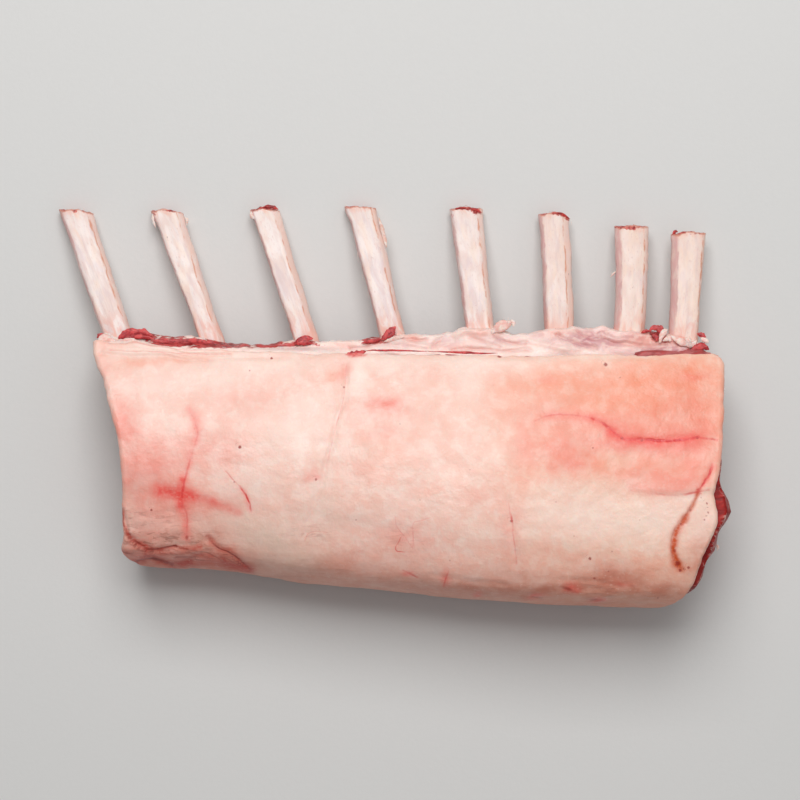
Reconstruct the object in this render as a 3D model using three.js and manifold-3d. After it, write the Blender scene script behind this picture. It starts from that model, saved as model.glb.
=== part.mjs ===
// A raw rack of lamb, trimmed for roasting: eight rib bones scraped bare at their outer ends, the loin
// muscle, the flank tissue that holds the ribs, and the fat cap over all of it. It lies fat side up.
//
// Millimetres, +Z up. X runs along the row of ribs, from the wide-spaced end to the loin's cut face; +Y
// points to the rib tips. The origin is on the table, under the middle of the rack.
//
// Each layer is a box bent to shape: u runs along X, v from the sawn backbone edge to the rib side, and w
// outwards.
import * as THREE from "three";
import { mergeVertices } from "three/addons/utils/BufferGeometryUtils.js";
import Module from "manifold-3d";

// ---- Driving sizes ----------------------------------------------------------------------------------------
const BODY_LEFT = -92.8; // x of the left cut, over the loin
const BODY_RIGHT = 115.3; // x of the right cut
const LOIN_WIDEST = { left: -56.4, right: -70.5 }; // y of the rounded side, near each end
const WIDENS_EARLY = 0.78; // below 1 the side of the loin moves out sooner, going right
const CAP_EDGE = { left: 22, middle: 19 }; // y of the fat cap's cut edge
const CROWN_HEIGHT = { left: 43.5, right: 48.5 }; // top of the fat over the loin
const CAP_STACK = 19; // from the inside of the ribs to the top of the fat, at the cap edge
const FAT = { chine: 3, side: 4.6, crown: 6.5, cap: 7.2, drawnIn: 1.2 }; // thickness; drawnIn at the cap edge
const RIB_ARC = 136; // radius of the ribs' curve
const RIB_THICKNESS = 6;
const RIB_FOOT = 71.8; // y where the longest ribs touch the table
const TISSUE_OVER_RIBS = 2.3;
const RIBS_STAND_OUT = 1.3; // how far the ribs show below the tissue between them
const CHINE_INSET = 20; // from the widest part of the side to where the backbone was sawn off
const CHINE_LEAN = 1.05; // the saw cut goes out this far for each millimetre up
const CORNER = { left: 7, right: 7, cap: 4 }; // plan radii: the two loin corners, and the cap's right corner
const ROLL = { left: 28, right: 17 }; // how far in the rounded side of the loin takes to level out
const ROLL_FROM = { left: 0.5, right: 0.62 }; // height of its widest part, as a share of the crown's
const GAP = 0.35; // between one layer and the next

// How the two cuts slope in plan: outwards past a place on the left, inwards past two places on the right.
const LEFT_SLOPE = { out: 0.285, from: -16, soft: 8 };
const RIGHT_SLOPE = { in: 0.05, from: 0, soft: 4 };
const RIGHT_TURN = { in: 0.38, from: -40, soft: 5 };

// The meat shows where it reaches past the fat along the cap edge, and where it swells out of the right cut.
const MEAT_SHOWS = [
  { x: -77, reach: 22, out: 2.8 },
  { x: 17, reach: 34, out: 1.4 },
  { x: 100, reach: 22, out: 3.4 },
];
const MEAT_HELD_BACK = 1; // elsewhere it stays this far inside the cap edge
const SWELL = { out: 6, y: -39, z: 25, halfWidth: 26, halfHeight: 19 };

// The tissue's torn outer edge, in plan, and how far it wavers.
const TISSUE_EDGE = { left: 22.4, right: 26.3, waver: 0.7 };
const TISSUE_INSET = 0.8; // the cuts of the tissue lie this far inside those of the fat
const TISSUE_THINS = 1.4; // towards its torn edge

// Rib tips, the slope of each bared length in plan, and its width at the tip and where it leaves the meat.
const RIBS = [
  { x: -113.8, y: 70.6, lean: 0.365, tip: 11.4, base: 11.0 },
  { x: -80.9, y: 70.6, lean: 0.365, tip: 10.6, base: 8.6 },
  { x: -45.8, y: 71.7, lean: 0.325, tip: 9.9, base: 9.0 },
  { x: -10.9, y: 71.8, lean: 0.242, tip: 10.6, base: 9.0 },
  { x: 26.7, y: 71.6, lean: 0.11, tip: 11.3, base: 10.4 },
  { x: 58.5, y: 69.7, lean: 0.026, tip: 10.7, base: 10.5 },
  { x: 86.2, y: 64.6, lean: -0.047, tip: 12.1, base: 11.2 },
  { x: 106.6, y: 62.4, lean: -0.077, tip: 12.0, base: 10.4 },
];
const BARE_FROM = 26; // y where the ribs leave the tissue
const TIP_SLANT = 0.05; // the cut tips lean back this far for each millimetre up
const RIB_SQUARENESS = 0.8; // 1 for an oval section, less for a squarer one
const RIB_CELLS = { around: 12, along: 11 };

// Shreds of meat and membrane left on the tissue's edge: middle, half length and thickness, and turn in plan.
const SHREDS = [
  { x: -81.5, y: 23.8, z: 17.8, long: 11, thick: 1.9, turn: -3 },
  { x: -0.5, y: 25.2, z: 19.2, long: 5, thick: 1.6, turn: 36 },
  { x: 39.5, y: 27.6, z: 18.6, long: 5, thick: 1.7, turn: 28 },
  { x: 93.3, y: 26, z: 18.8, long: 3.4, thick: 1.6, turn: 70 },
  { x: 109.5, y: 25.2, z: 18, long: 4.6, thick: 1.8, turn: -16 },
];

// Cells of each bent box: along X, from the backbone edge to the rib side, and outwards.
const FAT_CELLS = [36, 18, 1];
const MEAT_CELLS = [36, 18, 4];
const TISSUE_CELLS = [44, 8, 1];
const SHRED_CELLS = [8, 6]; // round and along

// ---- Small helpers ----------------------------------------------------------------------------------------
const { lerp, clamp, smoothstep } = THREE.MathUtils;
const hump = (x, centre, reach) => 1 - smoothstep(Math.abs(x - centre), 0, reach);
const ramp = (h, foot) => (h + Math.hypot(h, foot)) / 2; // 0 below zero, h above it, with a rounded foot

// The rows of a layer, from its first, to the one where the surface turns, and on in even steps to the last.
const row = (share, count, first, turn, last) =>
  share === 0 ? first : lerp(turn, last, (share * count - 1) / (count - 1));

// A box of that many cells, each corner moved to place(u, v, w), with its shared corners merged.
function bentBox(cells, place) {
  const geometry = new THREE.BoxGeometry(1, 1, 1, ...cells);
  return bend(geometry, (p) => place(p.x + 0.5, p.y + 0.5, p.z + 0.5));
}

function bend(geometry, place) {
  const position = geometry.getAttribute("position");
  const corner = new THREE.Vector3();
  for (let i = 0; i < position.count; i += 1) {
    corner.fromBufferAttribute(position, i);
    position.setXYZ(i, ...place(corner));
  }
  geometry.deleteAttribute("normal");
  geometry.deleteAttribute("uv");
  return mergeVertices(geometry, 1e-4);
}

// ---- The body's outline -----------------------------------------------------------------------------------
const along = (x) => clamp((x - BODY_LEFT) / (BODY_RIGHT - BODY_LEFT), 0, 1);
const easeIn = (share) => 0.5 - 0.5 * Math.cos(Math.PI * share ** WIDENS_EARLY);
const loinSide = (x) => lerp(LOIN_WIDEST.left, LOIN_WIDEST.right, easeIn(along(x)));
const capEdge = (x) => lerp(CAP_EDGE.left, CAP_EDGE.middle, smoothstep(x, -100, -10));
const crown = (x) => lerp(CROWN_HEIGHT.left, CROWN_HEIGHT.right, smoothstep(x, -110, 70));
const chine = (x) => loinSide(x) + CHINE_INSET;

// How far a corner of that plan radius pulls a cut in, at a distance from the side it meets.
function cornerPull(distance, radius) {
  const short = clamp(radius - distance, 0, radius);
  return radius - Math.sqrt(radius * radius - short * short);
}

// x of the two cuts, rounded where they meet the side of the loin, and on the right at the cap edge too.
function leftCut(x, y) {
  const slope = LEFT_SLOPE.out * ramp(y - LEFT_SLOPE.from, LEFT_SLOPE.soft);
  return BODY_LEFT - slope + cornerPull(y - loinSide(x), CORNER.left);
}

function rightCut(x, y) {
  const slope = RIGHT_SLOPE.in * ramp(RIGHT_SLOPE.from - y, RIGHT_SLOPE.soft);
  const turn = RIGHT_TURN.in * ramp(RIGHT_TURN.from - y, RIGHT_TURN.soft);
  const corners = cornerPull(y - loinSide(x), CORNER.right) + cornerPull(capEdge(x) - y, CORNER.cap);
  return BODY_RIGHT - slope - turn - corners;
}

// The inside of the ribs: an arc from the sawn edge, on the table, to the rib tips.
function ribInside(x, y) {
  const half = (RIB_FOOT - chine(x)) / 2;
  const fromTop = y - (RIB_FOOT - half);
  return Math.sqrt(RIB_ARC ** 2 - fromTop ** 2) - Math.sqrt(RIB_ARC ** 2 - half ** 2);
}
const tissueTop = (x, y) => ribInside(x, Math.max(y, chine(x))) + RIB_THICKNESS + TISSUE_OVER_RIBS;

// ---- Fat cap ----------------------------------------------------------------------------------------------
// The outer line of the fat at one station, from the saw cut, round the side of the loin, to the cap edge.
function fatLine(x) {
  const side = loinSide(x);
  const edge = capEdge(x);
  const top = crown(x);
  const roll = lerp(ROLL.left, ROLL.right, along(x));
  const rollFrom = top * lerp(ROLL_FROM.left, ROLL_FROM.right, along(x));
  const crownAt = side + roll + 9;
  const edgeTop = ribInside(x, edge) + CAP_STACK;
  const foot = rollFrom - 0.22 * top;
  const at = (y, z) => new THREE.Vector3(0, y, z);
  const down = (share, drop) => at(lerp(crownAt, edge, share), lerp(top, edgeTop, drop));
  return new THREE.CatmullRomCurve3([
    at(chine(x) - foot * CHINE_LEAN, foot),
    at(side + 0.4, rollFrom - 0.12 * top),
    at(side, rollFrom),
    at(side + 0.29 * roll, lerp(rollFrom, 0.985 * top, 0.7)),
    at(side + roll, 0.985 * top),
    at(crownAt, top),
    down(0.35, 0.18),
    down(0.7, 0.6),
    down(0.93, 0.92),
    down(1, 1.06),
  ]);
}

// Thin on the side of the loin, thickest over the flank, and drawn in a little at the cap edge.
function fatThickness(v) {
  const onSide = lerp(FAT.chine, FAT.side, smoothstep(v, 0, 0.15));
  const onLoin = lerp(onSide, FAT.crown, smoothstep(v, 0.15, 0.45));
  return onLoin + (FAT.cap - FAT.crown) * smoothstep(v, 0.45, 0.75) - FAT.drawnIn * smoothstep(v, 0.9, 1);
}

// A point of that line, moved inwards by a depth, as [y, z].
function fatPoint(x, v, depth) {
  const line = fatLine(x);
  const at = line.getPoint(v);
  const way = line.getTangent(v);
  return [at.y + depth * way.z, at.z - depth * way.y];
}

function fatCap() {
  return bentBox(FAT_CELLS, (u, v, w) => {
    const x = lerp(BODY_LEFT, BODY_RIGHT, u);
    const [y, z] = fatPoint(x, v, (1 - w) * fatThickness(v));
    return [lerp(leftCut(x, y), rightCut(x, y), u), y, z];
  });
}

// ---- Loin and flank meat ----------------------------------------------------------------------------------
const meatReach = (x) =>
  MEAT_SHOWS.reduce((total, place) => total + place.out * hump(x, place.x, place.reach), -MEAT_HELD_BACK);

function meatSwell(y, z) {
  const across = (y - SWELL.y) / SWELL.halfWidth;
  const up = (z - SWELL.z) / SWELL.halfHeight;
  return SWELL.out * ramp(1 - across ** 2 - up ** 2, 0.15);
}

function meat() {
  return bentBox(MEAT_CELLS, (u, v, w) => {
    const x = lerp(BODY_LEFT, BODY_RIGHT, u);
    const [topY, topZ] = fatPoint(x, v, fatThickness(v) + GAP);
    const foot = tissueTop(x, chine(x)) + GAP;
    const lowY = row(v, MEAT_CELLS[1], chine(x) - foot * CHINE_LEAN, chine(x), capEdge(x) - 0.8);
    const z = lerp(tissueTop(x, lowY) + GAP, topZ, w);
    const y = lerp(lowY, topY, w) + (v === 1 ? meatReach(x) : 0);
    const swell = u === 1 ? meatSwell(y, z) : 0;
    return [lerp(leftCut(x, y) + GAP, rightCut(x, y) - GAP, u) + swell, y, z];
  });
}

// ---- Flank tissue that holds the ribs ---------------------------------------------------------------------
// Its torn outer edge dips between the ribs and rises round them.
function tissueEdge(x) {
  const waver = TISSUE_EDGE.waver * Math.sin(x / 3.1) * Math.sin(x / 8.3);
  return lerp(TISSUE_EDGE.left, TISSUE_EDGE.right, smoothstep(x, -28, 32)) + waver;
}

function tissue() {
  return bentBox(TISSUE_CELLS, (u, v, w) => {
    const x = lerp(BODY_LEFT, BODY_RIGHT, u);
    const start = chine(x) - CHINE_LEAN * lerp(RIBS_STAND_OUT, tissueTop(x, chine(x)), w);
    const y = row(v, TISSUE_CELLS[1], start, chine(x), tissueEdge(x));
    const low = ribInside(x, Math.max(y, chine(x))) + RIBS_STAND_OUT;
    const z = lerp(low, tissueTop(x, y) - TISSUE_THINS * smoothstep(v, 0.85, 1), w);
    return [lerp(leftCut(x, y) + TISSUE_INSET, rightCut(x, y) - TISSUE_INSET, u), y, z];
  });
}

function shred({ x, y, z, long, thick, turn }) {
  const lump = new THREE.SphereGeometry(1, ...SHRED_CELLS);
  lump.scale(long, thick, thick);
  lump.rotateZ(THREE.MathUtils.degToRad(turn));
  lump.translate(x, y, z);
  return bend(lump, (p) => p.toArray());
}

// ---- Ribs -------------------------------------------------------------------------------------------------
// x of a rib's middle line. Its lean fades on the way to the backbone.
function ribX(rib, y) {
  const bare = Math.max(y, BARE_FROM);
  const buried = Math.max(0, BARE_FROM - y);
  const reach = BARE_FROM - LOIN_WIDEST.right - CHINE_INSET;
  return rib.x + rib.lean * (rib.y - bare + buried - (0.4 * buried ** 2) / reach);
}

// A flattened bar along the arc, cut square at the tip and along the saw cut at the backbone.
function ribBone(rib, grow = 0) {
  return bend(new THREE.CylinderGeometry(1, 1, 1, RIB_CELLS.around, RIB_CELLS.along), (p) => {
    const across = Math.sign(p.x) * Math.abs(p.x) ** RIB_SQUARENESS;
    const up = Math.sign(p.z) * Math.abs(p.z) ** RIB_SQUARENESS;
    const height = RIB_THICKNESS / 2 + up * (RIB_THICKNESS / 2 + grow);
    const backX = ribX(rib, chine(rib.x));
    const start = chine(backX) - CHINE_LEAN * height - 3 * grow;
    const tip = rib.y - TIP_SLANT * height + 3 * grow;
    const y = row(p.y + 0.5, RIB_CELLS.along, start, chine(backX), tip);
    const width = lerp(rib.base, rib.tip, smoothstep(y, BARE_FROM, rib.y));
    const middle = ribX(rib, y);
    const inside = ribInside(middle, Math.max(y, chine(backX)));
    return [middle + across * (width / 2 + grow), y, inside + height];
  });
}

// ---- Assembly ---------------------------------------------------------------------------------------------
const wasm = await Module();
wasm.setup();

const solidOf = (geometry) =>
  new wasm.Manifold(
    new wasm.Mesh({
      numProp: 3,
      vertProperties: geometry.getAttribute("position").array,
      triVerts: new Uint32Array(geometry.index.array),
    }),
  );

function geometryOf(solid) {
  const mesh = solid.getMesh();
  return new THREE.BufferGeometry()
    .setAttribute("position", new THREE.BufferAttribute(mesh.vertProperties, 3))
    .setIndex(new THREE.BufferAttribute(mesh.triVerts, 1));
}

const material = (color, roughness) => new THREE.MeshStandardMaterial({ color, roughness, metalness: 0 });
const FAT_LOOK = material("#f5d0c2", 0.45);
const MEAT_LOOK = material("#9e3d38", 0.35);
const TISSUE_LOOK = material("#ecc3ba", 0.4);
const BONE_LOOK = material("#efe0d8", 0.4);

const rack = new THREE.Group();
const add = (name, geometry, look) => {
  const mesh = new THREE.Mesh(geometry, look);
  mesh.name = name;
  rack.add(mesh);
};

add("fat_cap", fatCap(), FAT_LOOK);
add("loin_meat", meat(), MEAT_LOOK);
let held = SHREDS.reduce((whole, lump) => whole.add(solidOf(shred(lump))), solidOf(tissue()));
RIBS.forEach((rib, i) => {
  add(`rib_bone_${i + 1}`, ribBone(rib), BONE_LOOK);
  held = held.subtract(solidOf(ribBone(rib, GAP)));
});
add("flank_tissue", geometryOf(held), TISSUE_LOOK);

export default rack;
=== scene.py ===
"""The looks of a raw rack of lamb, lying fat side up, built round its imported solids.

Sizes are in millimetres until a mesh is made, in the part's frame: X along the row of ribs, +Y to the rib
tips, +Z up. Marks on the meat are placed where the camera sees them, in pixels of its 800 x 800 picture.
"""

import functools

import bpy
import numpy as np
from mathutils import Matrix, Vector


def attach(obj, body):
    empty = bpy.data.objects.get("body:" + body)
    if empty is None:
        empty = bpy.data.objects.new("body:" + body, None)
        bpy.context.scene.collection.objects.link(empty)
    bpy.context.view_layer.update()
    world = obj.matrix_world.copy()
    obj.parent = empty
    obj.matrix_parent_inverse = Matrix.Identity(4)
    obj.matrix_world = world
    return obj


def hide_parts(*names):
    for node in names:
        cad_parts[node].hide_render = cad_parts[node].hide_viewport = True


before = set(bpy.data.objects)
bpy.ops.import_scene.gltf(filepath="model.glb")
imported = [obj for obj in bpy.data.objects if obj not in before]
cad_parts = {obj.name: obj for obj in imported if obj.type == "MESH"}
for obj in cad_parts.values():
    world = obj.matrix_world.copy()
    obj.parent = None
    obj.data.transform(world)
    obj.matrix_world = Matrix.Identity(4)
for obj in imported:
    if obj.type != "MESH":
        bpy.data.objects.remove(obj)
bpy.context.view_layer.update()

MM = 0.001

# ---- The part's own sizes ------------------------------------------------------------------------
BODY_LEFT, BODY_RIGHT = -92.8, 115.3
SIDE_LEFT, SIDE_RIGHT = -56.4, -70.5
WIDENS_EARLY = 0.78
EDGE_LEFT, EDGE_MIDDLE = 22.0, 19.0
CROWN_LEFT, CROWN_RIGHT = 43.5, 48.5
CAP_STACK = 19.0
FAT_CHINE, FAT_SIDE, FAT_CROWN, FAT_CAP = 3.0, 4.6, 6.5, 7.2
RIB_ARC = 136.0
RIB_THICKNESS = 6.0
RIB_FOOT = 71.8
TISSUE_OVER_RIBS = 2.3
RIBS_STAND_OUT = 1.3
CHINE_INSET = 20.0
CHINE_LEAN = 1.05
# How the end cuts slant: by how much, from which y on, and how gently that begins.
LEFT_SLOPE, RIGHT_SLOPE, RIGHT_TURN = (0.285, -16, 8), (0.05, 0, 4), (0.38, -40, 5)
CORNER_LEFT, CORNER_RIGHT, CORNER_CAP = 7.0, 7.0, 4.0
ROLL_LEFT, ROLL_RIGHT = 28.0, 17.0
ROLL_FROM_LEFT, ROLL_FROM_RIGHT = 0.5, 0.62
GAP = 0.35
BARE_FROM = 26.0
TIP_SLANT = 0.05

# Each rib: x and y of its tip, its lean, and its width at the tip and where it leaves the meat, as in the
# part. Then the look of its bared length: where its flat face ends on the left and right (shares of the
# half width), how far its cut end drops and how far it flares at the left and right, how far it bows to
# the right, and how red its cut end is.
RIB_FACTS = ("x", "y", "lean", "tip", "base", "face", "drop", "flare", "bow", "raw")
RIBS = [dict(zip(RIB_FACTS, facts)) for facts in (
    (-113.8, 70.6, 0.365, 11.4, 11.0, (-0.8, 0.72), (0.1, 1.7), (0.3, 0.2), 0.0, 0.3),
    (-80.9, 70.6, 0.365, 10.6, 8.6, (-0.85, 0.6), (0.8, 1.5), (0.7, 0.4), 0.0, 0.35),
    (-45.8, 71.7, 0.325, 9.9, 9.0, (-0.86, 0.56), (1.3, 1.5), (0.6, 0.2), 0.0, 0.9),
    (-10.9, 71.8, 0.242, 10.6, 9.0, (-0.86, 0.66), (0.3, 1.0), (0.9, 0.2), 0.0, 0.3),
    (26.7, 71.6, 0.11, 11.3, 10.4, (-0.84, 0.66), (0.8, 1.2), (0.1, 0.4), 0.0, 0.9),
    (58.5, 69.7, 0.026, 10.7, 10.5, (-0.78, 0.56), (1.1, 2.6), (0.3, 0.1), 0.2, 0.8),
    (86.2, 64.6, -0.047, 12.1, 11.2, (-0.66, 0.72), (0.3, 0.4), (0.1, 0.1), 0.5, 0.7),
    (106.6, 62.4, -0.077, 12.0, 10.4, (-0.62, 0.84), (1.3, 0.9), (0.1, 0.3), 0.0, 0.6),
)]

# ---- Camera --------------------------------------------------------------------------------------
PICTURE = 800
CAMERA_X, CAMERA_Y, CAMERA_HEIGHT = 3.1, 2.45, 900.0
PIXEL = 0.35  # millimetres to a pixel at LEVEL
LEVEL = 30.0
SENSOR = 36.0
REACH = 40  # no mark on the meat is felt further away than this, in pixels


# ---- Small helpers -------------------------------------------------------------------------------
def mix(a, b, t):
    return a + (b - a) * t


def smooth(x, low, high):
    t = np.clip((x - low) / (high - low), 0, 1)
    return t * t * (3 - 2 * t)


def hump(x, centre, reach):
    return 1 - smooth(np.abs(x - centre), 0, reach)


def bell(x, width):
    return np.exp(-((x / width) ** 2))


def ramp(h, foot):
    return (h + np.hypot(h, foot)) / 2


def row(share, first_share, first, turn, last):
    """Rows that run from first to turn while share is below first_share, and on to last."""
    before = mix(first, turn, share / first_share)
    after = mix(turn, last, (share - first_share) / (1 - first_share))
    return np.where(share < first_share, before, after)


# Large odd numbers that scatter the noise.
SCATTER, SEED_SCATTER, MIXER = (73856093, 19349663, 83492791), 6971, 1274126177


def noise(points, size, seed=0):
    """Smooth random values from -1 to 1 at points, with lumps of about that size."""
    scaled = points / np.asarray(size, float) + 500 + 13.7 * seed
    cell = np.floor(scaled).astype(np.int64)
    part = scaled - cell
    part = part**3 * (part * (part * 6 - 15) + 10)
    total = np.zeros(part.shape[:-1])
    for corner in np.ndindex(2, 2, 2):
        key = ((cell + corner) * SCATTER).sum(-1) + seed * SEED_SCATTER
        key = ((key ^ (key >> 13)) * MIXER) & 0x7FFFFFFF
        value = ((key ^ (key >> 15)) & 0xFFFF) / 32767.5 - 1
        total += value * np.prod(np.where(corner, part, 1 - part), axis=-1)
    return total


def rough(points, size, seed=0, octaves=3):
    """Noise with finer noise on it."""
    size = np.asarray(size, float)
    return sum(noise(points, size / 2**n, seed + n) / 2**n for n in range(octaves))


def smooth_line(points, steps=5):
    """A finer line through the points, rounded at each of them."""
    p = np.asarray(points, float)
    if len(p) < 3:
        return p
    p = np.concatenate([[2 * p[0] - p[1]], p, [2 * p[-1] - p[-2]]])
    t = np.linspace(0, 1, steps, endpoint=False)[:, None]
    line = []
    for a, b, c, d in zip(p, p[1:], p[2:], p[3:]):
        line.append(b + 0.5 * t * (c - a + t * (2 * a - 5 * b + 4 * c - d + t * (3 * b - 3 * c + d - a))))
    return np.concatenate([*line, p[-2:-1]])


def line_of(ends, x):
    """The height of a broken line at x."""
    xs, ys = zip(*ends)
    return np.interp(x, xs, ys)


def seen(points):
    """Where the camera sees points, in pixels of its picture, right and down."""
    spread = (CAMERA_HEIGHT - LEVEL) / (CAMERA_HEIGHT - points[..., 2]) / PIXEL
    across = PICTURE / 2 + (points[..., 0] - CAMERA_X) * spread
    down = PICTURE / 2 - (points[..., 1] - CAMERA_Y) * spread
    return np.stack([across, down], -1)


def behind(pixels, z):
    """The points at height z that the camera sees at those pixels."""
    pixels = np.asarray(pixels, float)
    spread = (CAMERA_HEIGHT - z) / (CAMERA_HEIGHT - LEVEL) * PIXEL
    x = CAMERA_X + (pixels[..., 0] - PICTURE / 2) * spread
    y = CAMERA_Y - (pixels[..., 1] - PICTURE / 2) * spread
    return np.stack([x, y, z + 0 * x], -1)


def split_marks(rows, facts=2):
    """Marks written as flat rows: the first few facts of each, then its points as pairs."""
    return [(*row[:facts], np.reshape(row[facts:], (-1, 2))) for row in rows]


def off_line(places, line):
    """Where places (in pixels) lie by a line: how far aside of it in mm, signed by side, with the line
    drawn on straight past its ends; how far from it in truth; and how far along it, from 0 to 1."""
    line = smooth_line(line)
    signed = np.full(len(places), 1e3)
    true = signed.copy()
    share = np.zeros(len(places))
    close = np.all((places > line.min(0) - REACH) & (places < line.max(0) + REACH), axis=1)
    near = places[close]
    best = np.full(len(near), 1e6)
    aside = best.copy()
    along = np.zeros(len(near))
    last = len(line) - 2
    for n, (a, b) in enumerate(zip(line, line[1:])):
        way = b - a
        length = np.hypot(*way)
        t = (near - a) @ way / length**2
        on = np.clip(t, 0, 1)
        gap = np.hypot(*(near - a - on[:, None] * way).T)
        across = (way[0] * (near - a)[:, 1] - way[1] * (near - a)[:, 0]) / length
        past = ((n == 0) & (t < 0)) | ((n == last) & (t > 1))
        nearer = gap < best
        best = np.where(nearer, gap, best)
        aside = np.where(nearer, np.where(past, across, np.copysign(gap, across)), aside)
        along = np.where(nearer, (n + on) / (last + 1), along)
    signed[close], true[close], share[close] = aside * PIXEL, best * PIXEL, along
    return signed, true, share


# ---- The part's own forms ------------------------------------------------------------------------
def along_body(x):
    return np.clip((x - BODY_LEFT) / (BODY_RIGHT - BODY_LEFT), 0, 1)


def loin_side(x):
    return mix(SIDE_LEFT, SIDE_RIGHT, 0.5 - 0.5 * np.cos(np.pi * along_body(x) ** WIDENS_EARLY))


def cap_edge(x):
    return mix(EDGE_LEFT, EDGE_MIDDLE, smooth(x, -100, -10))


def crown(x):
    return mix(CROWN_LEFT, CROWN_RIGHT, smooth(x, -110, 70))


def chine(x):
    return loin_side(x) + CHINE_INSET


def corner_pull(distance, radius):
    short = np.clip(radius - distance, 0, radius)
    return radius - np.sqrt(radius * radius - short * short)


def left_cut(x, y):
    share, start, soft = LEFT_SLOPE
    return BODY_LEFT - share * ramp(y - start, soft) + corner_pull(y - loin_side(x), CORNER_LEFT)


def right_cut(x, y):
    leaning = sum(share * ramp(start - y, soft) for share, start, soft in (RIGHT_SLOPE, RIGHT_TURN))
    rounded = corner_pull(y - loin_side(x), CORNER_RIGHT) + corner_pull(cap_edge(x) - y, CORNER_CAP)
    return BODY_RIGHT - leaning - rounded


def rib_inside(x, y):
    half = (RIB_FOOT - chine(x)) / 2
    return np.sqrt(RIB_ARC**2 - (y - RIB_FOOT + half) ** 2) - np.sqrt(RIB_ARC**2 - half**2)


def tissue_top(x, y):
    return rib_inside(x, np.maximum(y, chine(x))) + RIB_THICKNESS + TISSUE_OVER_RIBS


def fat_line(x):
    """The points, as y and z, that the fat's outer line passes through at x."""
    side, edge, top = loin_side(x), cap_edge(x), crown(x)
    roll = mix(ROLL_LEFT, ROLL_RIGHT, along_body(x))
    roll_from = top * mix(ROLL_FROM_LEFT, ROLL_FROM_RIGHT, along_body(x))
    crown_at = side + roll + 9
    edge_top = rib_inside(x, edge) + CAP_STACK
    foot = roll_from - 0.22 * top
    steps = [(0.35, 0.18), (0.7, 0.6), (0.93, 0.92), (1, 1.06)]
    points = [
        (chine(x) - foot * CHINE_LEAN, foot),
        (side + 0.4, roll_from - 0.12 * top),
        (side, roll_from),
        (side + 0.29 * roll, mix(roll_from, 0.985 * top, 0.7)),
        (side + roll, 0.985 * top),
        (crown_at, top),
    ] + [(mix(crown_at, edge, share), mix(top, edge_top, drop)) for share, drop in steps]
    return np.array(points)


def on_curve(points, v):
    """Points (k x 2 x n) joined by a centripetal Catmull-Rom curve, at the shares v (n): 2 x n."""
    p = np.concatenate([[2 * points[0] - points[1]], points, [2 * points[-1] - points[-2]]])
    at = np.clip(v, 0, 1) * (len(points) - 1)
    first = np.minimum(np.floor(at).astype(int), len(points) - 2)
    t = at - first
    each = np.arange(len(v))
    a, b, c, d = (p[first + n, :, each].T for n in range(4))
    ab, bc, cd = (np.sum((q - o) ** 2, axis=0) ** 0.25 for o, q in ((a, b), (b, c), (c, d)))
    go = ((b - a) / ab - (c - a) / (ab + bc) + (c - b) / bc) * bc
    come = ((c - b) / bc - (d - b) / (bc + cd) + (d - c) / cd) * bc
    return b + t * (go + t * (3 * (c - b) - 2 * go - come + t * (2 * (b - c) + go + come)))


def fat_thickness(v):
    thick = mix(FAT_SIDE, FAT_CROWN, smooth(v, 0.15, 0.45))
    thick = thick - (FAT_SIDE - FAT_CHINE) * (1 - smooth(v, 0, 0.15))
    return thick + (FAT_CAP - FAT_CROWN) * smooth(v, 0.45, 0.75) - 1.2 * smooth(v, 0.9, 1)


def fat_point(x, v, depth):
    """y and z of the fat's outer line at x, moved inwards by a depth."""
    points = fat_line(x)
    at = on_curve(points, v)
    way = on_curve(points, np.minimum(v + 1e-4, 1)) - on_curve(points, np.maximum(v - 1e-4, 0))
    way = way / np.hypot(*way)
    return at[0] + depth * way[1], at[1] - depth * way[0]


def fat_place(u, v, w):
    x = mix(BODY_LEFT, BODY_RIGHT, u)
    y, z = fat_point(x, v, (1 - w) * fat_thickness(v))
    return np.stack([mix(left_cut(x, y), right_cut(x, y), u), y, z], -1)


def rib_x(rib, y):
    bare = np.maximum(y, BARE_FROM)
    buried = np.maximum(0, BARE_FROM - y)
    reach = BARE_FROM - SIDE_RIGHT - CHINE_INSET
    return rib["x"] + rib["lean"] * (rib["y"] - bare + buried - 0.4 * buried**2 / reach)


# ---- Meshes --------------------------------------------------------------------------------------
def spaced(count, *stops):
    """count + 1 shares from 0 to 1, closer together where the weight, given at stops, is higher."""
    x = np.linspace(0, 1, 2001)
    weight = line_of(stops, x)
    total = np.concatenate([[0], np.cumsum((weight[1:] + weight[:-1]) / 2)])
    return np.interp(np.linspace(0, total[-1], count + 1), total, x)


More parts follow.
